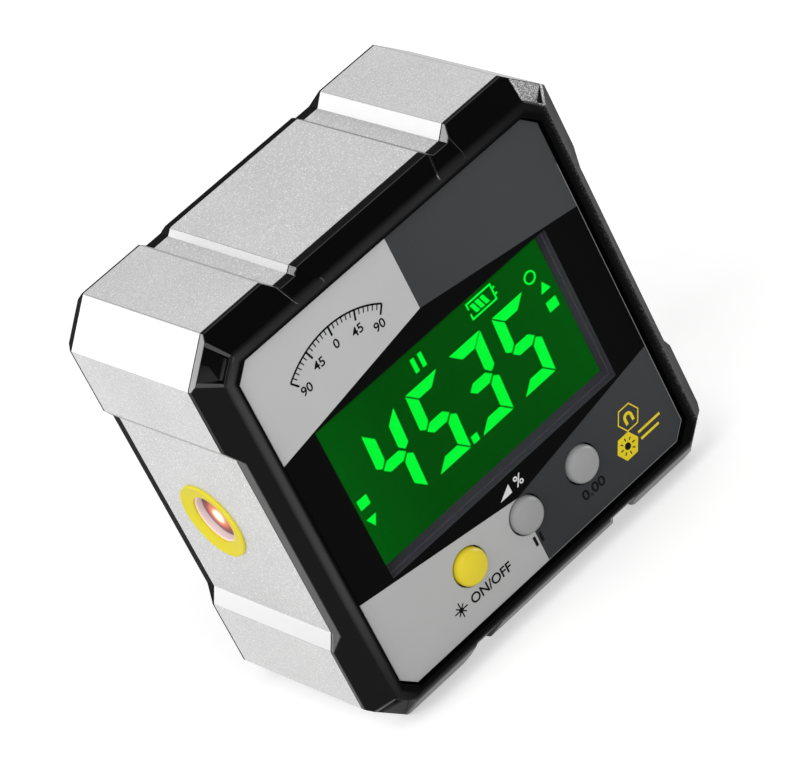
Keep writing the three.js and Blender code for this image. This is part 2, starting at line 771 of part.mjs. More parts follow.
// The laser leads come down between the battery and the barrels
const leadDrop = (batteryWidth / 2 + barrelBack) / 2;

// Magnets: two against each wall of the chassis, behind the measuring pads
function makeMagnet(alongSign, outSign, upright) {
  const along = onSide(alongSign, magnetStart, magnetStart + magnetWidth);
  const out = onSide(outSign, wallOuter, wallOuter + magnetThickness);
  const [across, up] = upright ? [out, along] : [along, out];
  return block(...across, plateBack, magnetEnd, ...up);
}

// A countersunk driver cross in the back of a screw head
function crossRecess(back, x, z, scale) {
  const long = crossLength / 2 * scale;
  const thin = crossWidth / 2 * scale;
  const floor = back - crossDepth * scale;
  return join(
    block(x - long, x + long, floor, back + overrun, z - thin, z + thin),
    block(x - thin, x + thin, floor, back + overrun, z - long, z + long),
  );
}

function makeCoverScrew(x, z) {
  const headBack = rearFace - headSink;
  const headFront = headBack - headHeight;
  const edge = headHeight / 4;
  const tip = boardFront - screwGrip;
  const point = screwRadius / 2;
  const profile = [[0, tip], [point, tip], [screwRadius, tip + point], [screwRadius, headFront],
    [headRadius, headFront], [headRadius, headBack - edge], [headRadius - edge, headBack], [0, headBack]];
  return cut(turned(profile, plainSides).translate(x, 0, z), crossRecess(headBack, x, z, 1));
}

// Screws of the charging board, driven from the front
function makeBoardScrew(x, z) {
  const headFront = chargeFront - smallHeadHeight;
  const profile = [[0, headFront], [smallHeadRadius, headFront], [smallHeadRadius, chargeFront],
    [smallScrewRadius, chargeFront], [smallScrewRadius, headFront + smallScrewLength],
    [0, headFront + smallScrewLength]];
  const share = smallHeadRadius / headRadius;
  const recess = toGeometry(crossRecess(0, 0, 0, share)).rotateX(Math.PI).translate(x, headFront, z);
  return cut(turned(profile, smallSides).translate(x, 0, z), recess);
}

// Laser parts, turned round x. Heights in the profiles are distances from the middle of the object
function makeBarrel(side) {
  const seat = barrelFront - portDepth - lensThickness;
  const profile = [[diodeRadius + fitGap, barrelBack], [barrelRadius, barrelBack],
    [barrelRadius, barrelFront], [portRadius, barrelFront], [portRadius, seat],
    [diodeRadius + fitGap, seat], [diodeRadius + fitGap, barrelBack]];
  return sideways(turned(profile), side).translate(0, laserPlace, 0);
}

function makeLens(side) {
  const seat = barrelFront - portDepth - lensThickness;
  const edge = portRadius - fitGap;
  const rim = seat + lensThickness - lensDome;
  const profile = [[0, seat], [edge, seat], [edge, rim]];
  const domeSteps = 3;
  for (let step = 1; step <= domeSteps; step += 1) {
    const share = 1 - step / domeSteps;
    profile.push([edge * share, rim + lensDome * (1 - share ** 2)]);
  }
  return sideways(turned(profile, plainSides), side).translate(0, laserPlace, 0);
}

function makeDiode(side) {
  const profile = [[0, barrelBack + looseGap], [diodeRadius, barrelBack + looseGap],
    [diodeRadius, barrelBack + looseGap + diodeLength], [0, barrelBack + looseGap + diodeLength]];
  return sideways(turned(profile, plainSides), side).translate(0, laserPlace, 0);
}

function makeRing(side) {
  const face = recessPlane + ringProud;
  const edge = ringProud / 4;
  const dishFloor = face - ringDish;
  const profile = [[cradleRadius, sleeveEnd], [sleeveRadius, sleeveEnd], [sleeveRadius, recessPlane],
    [ringRadius, recessPlane], [ringRadius, face - edge], [ringRadius - edge, face], [ringMouth, dishFloor],
    [ringMouth, barrelFront], [cradleRadius, barrelFront], [cradleRadius, sleeveEnd]];
  return sideways(turned(profile), side).translate(0, laserPlace, 0);
}

// Battery on its foam pad
function makePad() {
  const wide = batteryWidth / 2 - batteryRound;
  const low = batteryBottom + batteryRound;
  return block(-wide, wide, plateBack, batteryFront, low, low + batteryHeight - 2 * batteryRound);
}

function makeBattery() {
  const wide = batteryWidth / 2;
  const section = roundedRectangle(-wide, wide, 0, batteryThickness, batteryRound);
  const outline = new THREE.Shape(section);
  const cell = new THREE.ExtrudeGeometry(outline, { depth: batteryHeight, bevelEnabled: false });
  cell.translate(0, batteryFront, batteryBottom);
  const middle = batteryFront + batteryThickness / 2;
  const tabHalf = wide - batteryRound;
  return join(cell, block(-tabHalf, tabHalf, middle - tabThickness / 2, middle + tabThickness / 2,
    batteryBottom - tabHeight, batteryBottom + overrun));
}

// A round lead along a smooth curve through its points
const leadSides = 8;
const leadSteps = 14;

function makeLead(points, radius, steps) {
  const section = Array.from({ length: leadSides }, (_, index) => {
    const angle = 2 * Math.PI * index / leadSides;
    return new THREE.Vector2(radius * Math.cos(angle), radius * Math.sin(angle));
  });
  const places = points.map((point) => new THREE.Vector3(...point));
  const extrudePath = new THREE.CatmullRomCurve3(places, false, 'centripetal');
  return new THREE.ExtrudeGeometry(new THREE.Shape(section), { steps, extrudePath, bevelEnabled: false });
}

function makeBatteryLead(side) {
  const x = side * leadSpread;
  const middle = batteryFront + batteryThickness / 2;
  const low = plugPlace;
  const top = batteryBottom - tabHeight - looseGap;
  const bend = 3 * leadRadius;
  return makeLead([
    [x, plugBack + looseGap, low],
    [x, plugBack + looseGap + leadRadius, low],
    [x, middle - leadRadius, low + leadRadius],
    [x, middle, low + bend],
    [x, middle, top - leadRadius],
    [x, middle, top],
  ], leadRadius, leadSteps);
}

function makeLaserLead(side) {
  const start = barrelBack + looseGap / 2;
  const bend = 4 * leadRadius;
  return makeLead([
    [side * start, laserPlace, 0],
    [side * (start - leadRadius), laserPlace, 0],
    [side * (leadDrop + leadRadius / 2), laserPlace - leadRadius, 0],
    [side * leadDrop, laserPlace - bend, 0],
    [side * leadDrop, plateBack, 0],
    [side * leadDrop, boardBack + looseGap + leadRadius, 0],
    [side * leadDrop, boardBack + looseGap, 0],
  ], leadRadius, leadSteps);
}

function makeChargingLead() {
  const x = -socketWidth / 2 - 2 * leadRadius - looseGap / 2;
  const slack = 2 * leadRadius;
  const middle = (plateBack + chargeFront) / 2;
  return makeLead([
    [x, boardBack + looseGap, plugPlace],
    [x, plateFront, plugPlace],
    [x, plateBack + leadRadius, plugPlace],
    [x - slack / 2, middle, plugPlace - slack / 2],
    [x, chargeFront - looseGap - 2 * leadRadius, plugPlace],
    [x, chargeFront - looseGap, plugPlace],
  ], leadRadius, leadSteps);
}

// Charging board, its chip and its socket
function makeChargeBoard() {
  const wide = chargeBoardWidth / 2;
  const plate = block(-wide, wide, chargeFront, chargeBack, chargeBottom, chargeTop);
  const [holeStart, holeEnd] = [chargeFront - overrun, chargeBack + overrun];
  const holes = sides.map(({ x }) => (
    rod(smallScrewRadius + fitGap, holeStart, holeEnd, x * postPlace, chargeMiddle, smallSides)));
  return cut(plate, ...holes);
}

function makeCharger() {
  const wide = chargerWidth / 2;
  const high = chargerHeight / 2;
  const front = chargeFront - chargerThickness;
  return block(-wide, wide, front, chargeFront, chargeMiddle - high, chargeMiddle + high);
}

// Outline of the charging socket: a flat box with its lower corners slanted
function usbOutline(grow) {
  const wide = usbWidth / 2 + grow;
  const high = usbHeight / 2 + grow;
  const slope = usbSlope + grow / 2;
  return [
    [-wide, chargeMiddle + high], [wide, chargeMiddle + high], [wide, chargeMiddle - high + slope],
    [wide - slope, chargeMiddle - high], [slope - wide, chargeMiddle - high],
    [-wide, chargeMiddle - high + slope],
  ].map(([x, z]) => new THREE.Vector2(x, z));
}

const usbMouth = rearFace - usbSink;
const usbFloor = chargeBack + 2 * usbWall;

function makeUsbShell() {
  const body = prism(usbOutline(0), chargeBack, usbMouth);
  return cut(body, prism(usbOutline(-usbWall), usbFloor, usbMouth + overrun));
}

function makeUsbTongue() {
  const wide = tongueWidth / 2;
  const high = tongueThickness / 2;
  return block(-wide, wide, usbFloor, usbMouth - tongueSink, chargeMiddle - high, chargeMiddle + high);
}

// Everything in its place
add('aluminium_frame', makeFrame(), 0xc9cacc, 0.45, 0.9);
add('front_cover', makeFrontCover(), 0x1c1d1f, 0.55, 0);
add('label_panel', makeLabel(), 0x8a8c8e, 0.5, 0);
add('display_window', makePane(), 0xdfe6e4, 0.05, 0, { transparent: true, opacity: 0.2 });
add('lcd_glass', makeGlass(), 0x0a5a18, 0.2, 0, { emissive: 0x064b0c });
add('backlight_guide', makeGuide(), 0xe9f2ea, 0.3, 0);
add('backlight_led', makeLamp(), 0xf4f0d8, 0.4, 0);
add('zebra_strip', makeStrip(), 0x3b3b3d, 0.8, 0);
add('lcd_holder', makeHolder(), 0x2b2d30, 0.6, 0);
for (const { name, x, color } of buttons) {
  add(`${name}_button`, makeButton(x), color, 0.5, 0);
  add(`${name}_stem`, makeStem(x), 0x1a1a1a, 0.5, 0);
  add(`${name}_switch`, makeSwitch(x), 0x4a4c50, 0.4, 0.6);
}
add('main_board', makeMainBoard(), 0x14532d, 0.6, 0);
add('microcontroller', makeChip(), 0x202124, 0.5, 0);
add('tilt_sensor', makeSensor(), 0x2a2b2f, 0.4, 0);
add('battery_socket', makeSocket(), 0xe8e4d6, 0.5, 0);
add('inner_chassis', makeChassis(), 0x2f3134, 0.7, 0);
for (const { name, x } of sides) {
  add(`magnet_top_${name}`, makeMagnet(x, 1, false), 0xa9abb0, 0.3, 1);
  add(`magnet_bottom_${name}`, makeMagnet(x, -1, false), 0xa9abb0, 0.3, 1);
  add(`magnet_${name}_upper`, makeMagnet(1, x, true), 0xa9abb0, 0.3, 1);
  add(`magnet_${name}_lower`, makeMagnet(-1, x, true), 0xa9abb0, 0.3, 1);
  add(`laser_module_${name}`, makeBarrel(x), 0xb9b6ae, 0.3, 1);
  add(`laser_lens_${name}`, makeLens(x), 0x55201c, 0.1, 0, { emissive: 0xb01008 });
  add(`laser_diode_${name}`, makeDiode(x), 0xa8862f, 0.35, 1);
  add(`laser_ring_${name}`, makeRing(x), 0xeed92c, 0.45, 0);
  add(`laser_lead_${name}`, makeLaserLead(x), 0x9a1f1b, 0.6, 0);
}
add('battery_pad', makePad(), 0x3f4145, 0.9, 0);
add('battery', makeBattery(), 0x9ea3a8, 0.4, 0.7);
add('battery_plug', makePlug(), 0xe8e4d6, 0.5, 0);
add('battery_lead_red', makeBatteryLead(1), 0xa81c18, 0.6, 0);
add('battery_lead_black', makeBatteryLead(-1), 0x1b1b1b, 0.6, 0);
add('charging_board', makeChargeBoard(), 0x14532d, 0.6, 0);
add('charger_chip', makeCharger(), 0x202124, 0.5, 0);
add('usb_shell', makeUsbShell(), 0xb8babd, 0.3, 1);
add('usb_tongue', makeUsbTongue(), 0x1a1a1a, 0.5, 0);
add('charging_lead', makeChargingLead(), 0x1f4fa0, 0.6, 0);
for (const { name, x } of sides) {
  add(`board_screw_${name}`, makeBoardScrew(x * postPlace, chargeMiddle), 0x8f9296, 0.35, 1);
}
add('rear_cover', makeRearCover(), 0x1c1d1f, 0.55, 0);
for (const { name, x, z } of corners) {
  add(`cover_screw_${name}`, makeCoverScrew(x * screwPlace, z * screwPlace), 0x8f9296, 0.35, 1);
}

// The origin lies under the middle of the whole object, caps included
const capsFront = labelFront - buttonProud;
const wholeMiddle = (capsFront + frameDepth + coverDepth) / 2;
assembly.position.set(0, -wholeMiddle, half);

const inclinometer = new THREE.Group();
inclinometer.add(assembly);

export default inclinometer;
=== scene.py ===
# %% [markdown]
# # A pocket digital inclinometer
# A square aluminium frame is the measuring tool: its four sides are machined flat and parallel. Two
# black covers close it, and the front one carries a printed label with a window, a lit display and
# three push buttons. A laser looks out of the left side and of the right side.
# The mechanical parts arrive as a finished frame of solids. This notebook gives every part its finish,
# turns the round parts finely, breaks the sharp edges and prints the label.

import json
import math

import bmesh
import bpy
from mathutils import Matrix, Vector

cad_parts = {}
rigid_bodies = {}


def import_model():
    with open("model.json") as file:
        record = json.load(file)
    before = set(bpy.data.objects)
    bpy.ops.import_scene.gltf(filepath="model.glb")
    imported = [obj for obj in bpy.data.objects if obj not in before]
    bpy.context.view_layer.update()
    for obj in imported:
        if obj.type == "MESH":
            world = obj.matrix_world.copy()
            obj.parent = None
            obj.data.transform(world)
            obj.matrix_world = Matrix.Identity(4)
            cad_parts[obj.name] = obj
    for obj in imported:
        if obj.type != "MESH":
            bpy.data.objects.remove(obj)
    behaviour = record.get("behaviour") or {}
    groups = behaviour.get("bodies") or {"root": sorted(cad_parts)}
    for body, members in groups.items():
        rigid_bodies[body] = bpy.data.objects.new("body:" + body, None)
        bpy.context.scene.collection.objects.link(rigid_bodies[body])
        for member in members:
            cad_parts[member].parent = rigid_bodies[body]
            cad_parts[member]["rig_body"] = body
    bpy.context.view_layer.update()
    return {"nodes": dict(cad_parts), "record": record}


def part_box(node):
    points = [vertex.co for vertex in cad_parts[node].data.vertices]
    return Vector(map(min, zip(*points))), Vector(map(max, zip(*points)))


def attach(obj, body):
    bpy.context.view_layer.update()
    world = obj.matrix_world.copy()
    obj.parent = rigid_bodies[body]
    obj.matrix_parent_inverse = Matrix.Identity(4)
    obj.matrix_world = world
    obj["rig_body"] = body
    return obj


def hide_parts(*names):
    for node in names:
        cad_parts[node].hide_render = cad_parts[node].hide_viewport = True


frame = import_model()
nodes = frame["nodes"]

# %% [markdown]
# Everything is in metres. The small sizes here are easier to read in millimetres, so lengths are
# written as a number times `MM`. Heights on the front are counted from the middle of the label, and
# every place starts from the box of the part that carries the piece.

# %% Measure the parts that carry others
MM = 0.001
label_low, label_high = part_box("label_panel")
glass_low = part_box("lcd_glass")[0]
window_low, window_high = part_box("display_window")
frame_low, frame_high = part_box("aluminium_frame")
middle_height = (label_low.z + label_high.z) / 2
label_half = label_high.x
print("label is", round(2 * label_half / MM, 1), "mm wide, middle at", round(middle_height / MM, 1), "mm")

# %% [markdown]
# The camera stands to the left of the tool, above it, and leans over to its side. A long lens keeps the
# upright edges almost parallel. The place, the aim and the roll are those of the photograph.

# %% Camera
EYE = Vector((-0.23030, -0.46620, 0.33845))
AIM = Vector((-0.00007, -0.00078, 0.02840))
ROLL = math.radians(-27.587)
LENS = 223.06

camera = bpy.data.objects.new("camera", bpy.data.cameras.new("camera"))
bpy.context.scene.collection.objects.link(camera)
turn = (AIM - EYE).to_track_quat("-Z", "Y").to_matrix().to_4x4()
camera.matrix_world = Matrix.Translation(EYE) @ turn @ Matrix.Rotation(ROLL, 4, "Z")
camera.data.lens = LENS
camera.data.sensor_width = 36
camera.data.clip_start = 0.01
camera.data.clip_end = 20
bpy.context.scene.camera = camera
bpy.context.scene.view_settings.view_transform = "Standard"
print("camera is", round((AIM - EYE).length, 3), "m away")

# %% [markdown]
# Finishes are node materials, and node sums are clumsy to write socket by socket. One small class wraps
# a socket and gives it Python's operators, so `1 - mask * 0.5` adds the Math nodes by itself. Another
# wraps a material: its `node` method makes any node from its type, its settings and its inputs.

# %% Sums of sockets
class Value:
    """A number or colour inside a material, with Python's operators."""

    def __init__(self, finish, socket):
        self.finish = finish
        self.socket = socket

    def math(self, operation, *others):
        inputs = {number: other for number, other in enumerate((self, *others))}
        return self.finish.node("ShaderNodeMath", {"operation": operation}, inputs)

    def __add__(self, other):
        return self.math("ADD", other)

    def __sub__(self, other):
        return self.math("SUBTRACT", other)

    def __rsub__(self, other):
        return self.math("MULTIPLY_ADD", -1, other)

    def __mul__(self, other):
        return self.math("MULTIPLY", other)

    def __truediv__(self, other):
        return self.math("DIVIDE", other)

    def __gt__(self, other):
        return self.math("GREATER_THAN", other)

    def __lt__(self, other):
        return self.math("LESS_THAN", other)

    def __abs__(self):
        return self.math("ABSOLUTE")

    def larger(self, other):
        return self.math("MAXIMUM", other)

    __radd__ = __add__
    __rmul__ = __mul__


# %% Materials as expressions
class Finish:
    """A node material that is built by expressions."""

    def __init__(self, name, tree=None):
        if tree is None:
            self.material = bpy.data.materials.new(name)
            self.material.use_nodes = True
            tree = self.material.node_tree
        self.tree = tree
        tree.nodes.clear()

    def node(self, kind, settings=None, inputs=None, output=0):
        made = self.tree.nodes.new(kind)
        for key, setting in (settings or {}).items():
            if key == "stops":
                self.set_stops(made.color_ramp, setting)
            else:
                setattr(made, key, setting)
        for key, value in (inputs or {}).items():
            if isinstance(value, Value):
                self.tree.links.new(value.socket, made.inputs[key])
            else:
                made.inputs[key].default_value = value
        return Value(self, made.outputs[output]) if made.outputs else None

    def set_stops(self, ramp, stops):
        for number, (place, colour) in enumerate(stops):
            stop = ramp.elements[number] if number < 2 else ramp.elements.new(place)
            stop.position = place
            stop.color = (*colour, 1)

    def place(self):
        """The point on the part, in millimetres from the middle of the label's height."""
        point = self.node("ShaderNodeTexCoord", output=3)
        middle = (0, 0, -middle_height / MM)
        scaled = self.node("ShaderNodeVectorMath", {"operation": "MULTIPLY_ADD"},
                           {0: point, 1: (1 / MM,) * 3, 2: middle})
        return scaled

    def axes(self):
        point = self.place()
        return [self.node("ShaderNodeSeparateXYZ", None, {0: point}, number) for number in range(3)]

    def noise(self, size, detail=2, stretch=(1, 1, 1), roughness=0.5):
        """Cloudy noise from 0 to 1 whose patches are about `size` millimetres wide."""
        point = self.node("ShaderNodeVectorMath", {"operation": "MULTIPLY"}, {0: self.place(), 1: stretch})
        return self.node("ShaderNodeTexNoise", None,
                         {"Vector": point, "Scale": 1 / size, "Detail": detail, "Roughness": roughness})

    def ramp(self, value, *stops):
        return self.node("ShaderNodeValToRGB", {"stops": stops}, {0: value})

    def blend(self, share, first, second):
        colours = {key: value if isinstance(value, Value) else (*value, 1)
                   for key, value in ((6, first), (7, second))}
        return self.node("ShaderNodeMix", {"data_type": "RGBA"}, {0: share, **colours}, 2)

    def bump(self, height, depth):
        """A surface relief of `depth` millimetres where `height` goes from 0 to 1."""
        return self.node("ShaderNodeBump", None,
                         {"Strength": 1.0, "Distance": depth * MM, "Height": height})

    def surface(self, **looks):
        sockets = {key.replace("_", " ").title().replace("Ior", "IOR"): value for key, value in looks.items()}
        for key in ("Base Color", "Emission Color"):
            if key in sockets and not isinstance(sockets[key], Value):
                sockets[key] = (*sockets[key], 1)
        shader = self.node("ShaderNodeBsdfPrincipled", None, sockets)
        self.node("ShaderNodeOutputMaterial", None, {0: shader})
        return self.material


def gray(level):
    """The linear colour of a gray that shows as `level` out of 255."""
    return tint(level, level, level)


def tint(red, green, blue):
    """The linear colour that shows as these three levels out of 255."""
    shares = [level / 255 for level in (red, green, blue)]
    return tuple(share / 12.92 if share < 0.04045 else ((share + 0.055) / 1.055) ** 2.4 for share in shares)


print("a mid gray of 128 is", round(gray(128)[0], 3), "in linear light")

# %% [markdown]
# The stage is a pale floor under soft light. The floor and the sky look white to the camera and to
# anything that mirrors or shows them, but light the tool only gently: Light Path tells these rays
# apart. The floor stays a real surface below that, so it keeps the shadow.

# %% Floor and sky
SKY_LIGHT = 0.55
FLOOR_GLOW = 0.42


def seen_directly(finish):
    """1 for rays that come from the camera, a mirror or a pane, and 0 for the rest."""
    camera_ray, glossy_ray, through_ray = (
        finish.node("ShaderNodeLightPath", output=name)
        for name in ("Is Camera Ray", "Is Glossy Ray", "Is Transmission Ray"))
    return camera_ray.larger(glossy_ray).larger(through_ray)


floor_mesh = bpy.data.meshes.new("floor")
floor_shape = bmesh.new()
bmesh.ops.create_circle(floor_shape, segments=64, radius=4, cap_ends=True)
floor_shape.to_mesh(floor_mesh)
floor = bpy.data.objects.new("floor", floor_mesh)
bpy.context.scene.collection.objects.link(floor)
floor_finish = Finish("floor paper")
grain = floor_finish.noise(3, detail=3)
paper = floor_finish.node("ShaderNodeBsdfDiffuse", None,
                          {"Color": floor_finish.ramp(grain, (0, gray(228)), (1, gray(234)))})
glow = floor_finish.node("ShaderNodeEmission", None, {"Strength": seen_directly(floor_finish) * FLOOR_GLOW})
floor_finish.node("ShaderNodeOutputMaterial", None,
                  {0: floor_finish.node("ShaderNodeAddShader", None, {0: paper, 1: glow})})
floor_mesh.materials.append(floor_finish.material)

world = bpy.data.worlds.new("studio")
world.use_nodes = True
bpy.context.scene.world = world
sky = Finish("sky", world.node_tree)
sky_light = sky.node("ShaderNodeBackground", None, {
    "Color": (1, 1, 1, 1), "Strength": seen_directly(sky) * (1 - SKY_LIGHT) + SKY_LIGHT})
sky.node("ShaderNodeOutputWorld", None, {0: sky_light})
print("sky lights with", SKY_LIGHT, "and shows as 1")

# %% [markdown]
# Four soft panels stand round the tool. The large one, above and to the left, models the matt surfaces
# and draws no highlight on the metal. The one in front keeps the label readable. The last two only draw
# highlights and leave matt surfaces alone: one stands behind, where the slopes of the frame and the rims
# of the covers mirror it to the camera, and one at the right, where it brings out the grain in the corner
# pocket. Each row gives the place, the width, the power, and whether the lamp lights matt surfaces and
# whether it draws highlights.

# %% Lamps
LAMPS = {
    "key": ((-0.50, -0.18, 0.66), 0.75, 2.9, True, False),
    "front": ((-0.10, -0.85, 0.30), 0.40, 1.8, True, True),
    "edge": ((-0.413, 0.558, 0.217), 0.42, 2.6, False, True),
    "side": ((0.60, -0.05, 0.12), 0.25, 3.2, False, True),
}


def make_lamp(name, place, width, power, lights_matt, draws_highlights):
    lamp = bpy.data.objects.new(name, bpy.data.lights.new(name, "AREA"))
    lamp.data.shape = "DISK"
    lamp.data.size = width
    lamp.data.energy = power
    lamp.visible_diffuse = lights_matt
    lamp.visible_glossy = draws_highlights
    lamp.matrix_world = (Matrix.Translation(place)
                         @ (AIM - Vector(place)).to_track_quat("-Z", "Y").to_matrix().to_4x4())
    bpy.context.scene.collection.objects.link(lamp)


for lamp_name, settings in LAMPS.items():
    make_lamp(lamp_name, *settings)
print("lamps:", ", ".join(LAMPS))

# %% [markdown]
# The frame is extruded aluminium, bead-blasted and clear anodised. Tiny craters scatter the light, so it
# is a rough metal with a fine sparkle: a noise far smaller than a millimetre drives both the relief and
# the roughness. The machined slopes beside the pads are plain, and brightest where they face a lamp. A
# dark hair's breadth at the joint with each cover is painted shade, where the gap between the parts is in
# shadow.

# %% Metals
JOINT_SHADE_WIDTH = 0.10


def bare_metal(name, level, roughness, craters):
    """A gray metal whose level, roughness and relief all follow one fine grain."""
    finish = Finish(name)
    fine = finish.noise(0.12, detail=3, roughness=0.7)
    broad = finish.noise(9, detail=2)
    spread = 0.08 * level
    colour = finish.ramp(fine * 0.7 + broad * 0.3, (0.3, (level - spread,) * 3), (0.7, (level + spread,) * 3))
    return finish.surface(base_color=colour, metallic=1.0, roughness=fine * 0.25 + (roughness - 0.125),
                          normal=finish.bump(fine, craters))


def joint_shade(finish):
    """Painted shade: a hair's breadth along the front and the rear edge, where the gap to each cover is in
    shadow.
    """
    deep = finish.axes()[1]
    middle, reach = (frame_low.y + frame_high.y) / 2 / MM, (frame_high.y - frame_low.y) / 2 / MM
    return abs(deep - middle) > reach - JOINT_SHADE_WIDTH


def blasted_aluminium():
    finish = Finish("blasted aluminium")
    fine = finish.noise(0.19, detail=2, roughness=0.8)
    coarse = finish.noise(0.45, detail=2)
    broad = finish.noise(14, detail=2)
    speck = finish.ramp(fine, (0.57, (0, 0, 0)), (0.66, (1, 1, 1)))
    level = finish.ramp(broad * 0.4 + coarse * 0.6, (0.3, gray(188)), (0.7, gray(204)))
    colour = finish.blend(speck * 0.75, level, gray(255))
    rough = 0.5 - speck * 0.2
    relief = finish.bump(fine * 0.7 + coarse * 0.3, 0.04)
    # The hair's breadth of gray 40 at each joint is painted shade.
    return finish.surface(base_color=finish.blend(joint_shade(finish), colour, gray(40)), metallic=1.0,
                          roughness=rough, normal=relief)


def milled_aluminium():
    finish = Finish("milled aluminium")
    along = finish.noise(0.10, detail=2, stretch=(1, 0.04, 1))
    level = finish.ramp(along, (0.3, gray(160)), (0.7, gray(163)))
    # The hair's breadth of gray 40 at each joint is painted shade.
    return finish.surface(base_color=finish.blend(joint_shade(finish), level, gray(40)), metallic=1.0,
                          roughness=along * 0.04 + 0.46, normal=finish.bump(along, 0.0004))


def diode_brass():
    finish = Finish("diode brass")
    fine = finish.noise(0.15, detail=3)
    brass = (0.60, 0.45, 0.14)
    darker = tuple(0.82 * share for share in brass)
    return finish.surface(base_color=finish.blend(fine, darker, brass), metallic=1.0,
                          roughness=fine * 0.2 + 0.2, normal=finish.bump(fine, 0.004))


aluminium = blasted_aluminium()
milled = milled_aluminium()
socket_metal = bare_metal("nickel plated sheet", 0.58, 0.30, 0.004)
screw_metal = bare_metal("zinc plated screw", 0.34, 0.34, 0.006)
barrel_metal = bare_metal("turned barrel", 0.80, 0.34, 0.003)
print("metals ready")

# %% [markdown]
# The covers are moulded in black plastic with a fine spark-eroded grain, like most tool housings. Three
# things make moulded plastic believable: the grain in the relief, a roughness that changes over several
# millimetres, and a weak mirror share, because real grain swallows most of the reflection.

# %% Plastics
def moulded(name, colour, roughness=0.5, grain=0.012, grain_size=0.22, variation=0.12, specular=0.3):
    finish = Finish(name)
    fine = finish.noise(grain_size, detail=2, roughness=0.6)
    broad = finish.noise(7, detail=3)
    darker, lighter = (tuple(min(1, share * (1 + side * variation)) for share in colour) for side in (-1, 1))
    return finish.surface(base_color=finish.blend(fine * 0.4 + broad * 0.6, darker, lighter),
                          roughness=broad * 0.16 + (roughness - 0.08), specular_ior_level=specular,
                          normal=finish.bump(fine, grain))


cover_plastic = moulded("grained black cover", gray(5), 0.42, 0.014, 0.20, 0.15, 0.02)
# The next three are black plastic with painted sheen and painted highlights, for the front cover's rims,
# corner rims and pocket ridges where light falls.
sheen_rim_plastic = moulded("black rim with painted sheen", gray(9), 0.34, 0.014, 0.22, 0.2, 0.43)
highlight_corner_plastic = moulded("corner rim with painted highlight", gray(24), 0.30, 0.010, 0.22, 0.2, 0.70)
highlight_ridge_plastic = moulded("pocket ridge with painted highlight", gray(46), 0.36, 0.014, 0.22, 0.2, 0.5)
yellow_cap = moulded("yellow cap", tint(226, 204, 38), 0.42, 0.006, 0.18, 0.05, 0.3)
label_wall_painted_gray = moulded("label wall painted lit gray", tint(70, 67, 76), 0.5, 0.004, 0.3, 0.1, 0.05)
gray_cap = moulded("gray cap", gray(150), 0.42, 0.006, 0.18, 0.05, 0.3)
port_yellow = moulded("yellow port ring", tint(240, 224, 50), 0.42, 0.004, 0.3, 0.04, 0.10)
print("plastics ready")

# %% [markdown]
# The battery is a pouch of laminated foil with a soft sheen and shallow creases, and the boards are glass
# cloth under green lacquer: the weave shows as a faint grid of waves, and the tracks as slightly raised
# lighter lines.

# %% Foil and boards
def pouch_foil():
    finish = Finish("pouch foil")
    crease = finish.noise(5, detail=3, stretch=(1, 1, 0.4))
    fine = finish.noise(0.4)
    return finish.surface(base_color=finish.ramp(crease, (0.3, gray(176)), (0.7, gray(200))), metallic=1.0,
                          roughness=fine * 0.14 + 0.28, normal=finish.bump(crease, 0.09))


def lacquered_board():
    finish = Finish("green lacquered board")
    across, _, up = finish.axes()
    weave = ((across * 9).math("SINE") * (up * 9).math("SINE")) * 0.5 + 0.5
    track = abs((up * 0.9 + finish.noise(6) * 1.5).math("SINE")) > 0.93
    green = finish.blend(weave, tint(10, 74, 38), tint(16, 88, 46))
    return finish.surface(base_color=finish.blend(track * 0.6, green, tint(46, 132, 74)),
                          roughness=0.3 + weave * 0.06, normal=finish.bump(weave * 0.3 + track * 0.7, 0.02))


foil = pouch_foil()
board_lacquer = lacquered_board()
print("foil and boards ready")

# %% [markdown]
# The label is one sheet printed in four fields. Two slanted lines, highest and lowest at the middle,
# cut a black band for the display out of it; above and below the band the left half is light gray and
# the right half dark gray. The fields are sums on the place of each point, so their borders stay sharp
# at any size. At the right and below, the cut edge of the clear sheet shows as a thin pale line.

# %% The printed label
BAND_TOP, BAND_BOTTOM = 14.7, -15.2  # heights of the band's two borders at the middle
BAND_SLOPE = 0.158                   # how far they come nearer for each millimetre outward
LABEL_CORNER = 9.08                  # reach of the corner cuts past the sides, along the diagonal
EDGE_LINE = 0.15


def printed_label():
    finish = Finish("printed label")
    across, _, up = finish.axes()
    outward = abs(across)
    outside_band = (up > BAND_TOP - outward * BAND_SLOPE).larger(up < BAND_BOTTOM + outward * BAND_SLOPE)
    cloud = finish.noise(16, detail=2)
    shade = cloud * 0.4 + up / 70 + 0.3
    light = finish.ramp(shade, (0.1, gray(174)), (0.9, gray(192)))
    dark = finish.ramp(shade + across / 45 - 0.2, (0.1, tint(56, 57, 59)), (0.9, tint(69, 70, 71)))
    fields = finish.blend(across > 0, light, dark)
    print_colour = finish.blend(outside_band, gray(9), fields)
    half = label_half / MM
    border = outward.larger(abs(up)).larger((outward + abs(up)) * math.sqrt(0.5) - LABEL_CORNER)
    edge = (border > half - EDGE_LINE) * (across - up > 8)
    fine = finish.noise(0.25)
    return finish.surface(base_color=finish.blend(edge * 0.45, print_colour, gray(170)),
                          roughness=fine * 0.12 + 0.36, specular_ior_level=0.015,
                          normal=finish.bump(fine, 0.003))


label_print = printed_label()
print("label fields meet the middle at", BAND_TOP, "and", BAND_BOTTOM, "mm")

# %% [markdown]
# The display glows by itself. Its light enters at the left edge, so the green is brightest there, and a
# little of it comes back from the right edge. An emission colour that follows the place across the glass
# does this; the figures are separate thin plates that glow fully. The pane in front is almost clear.

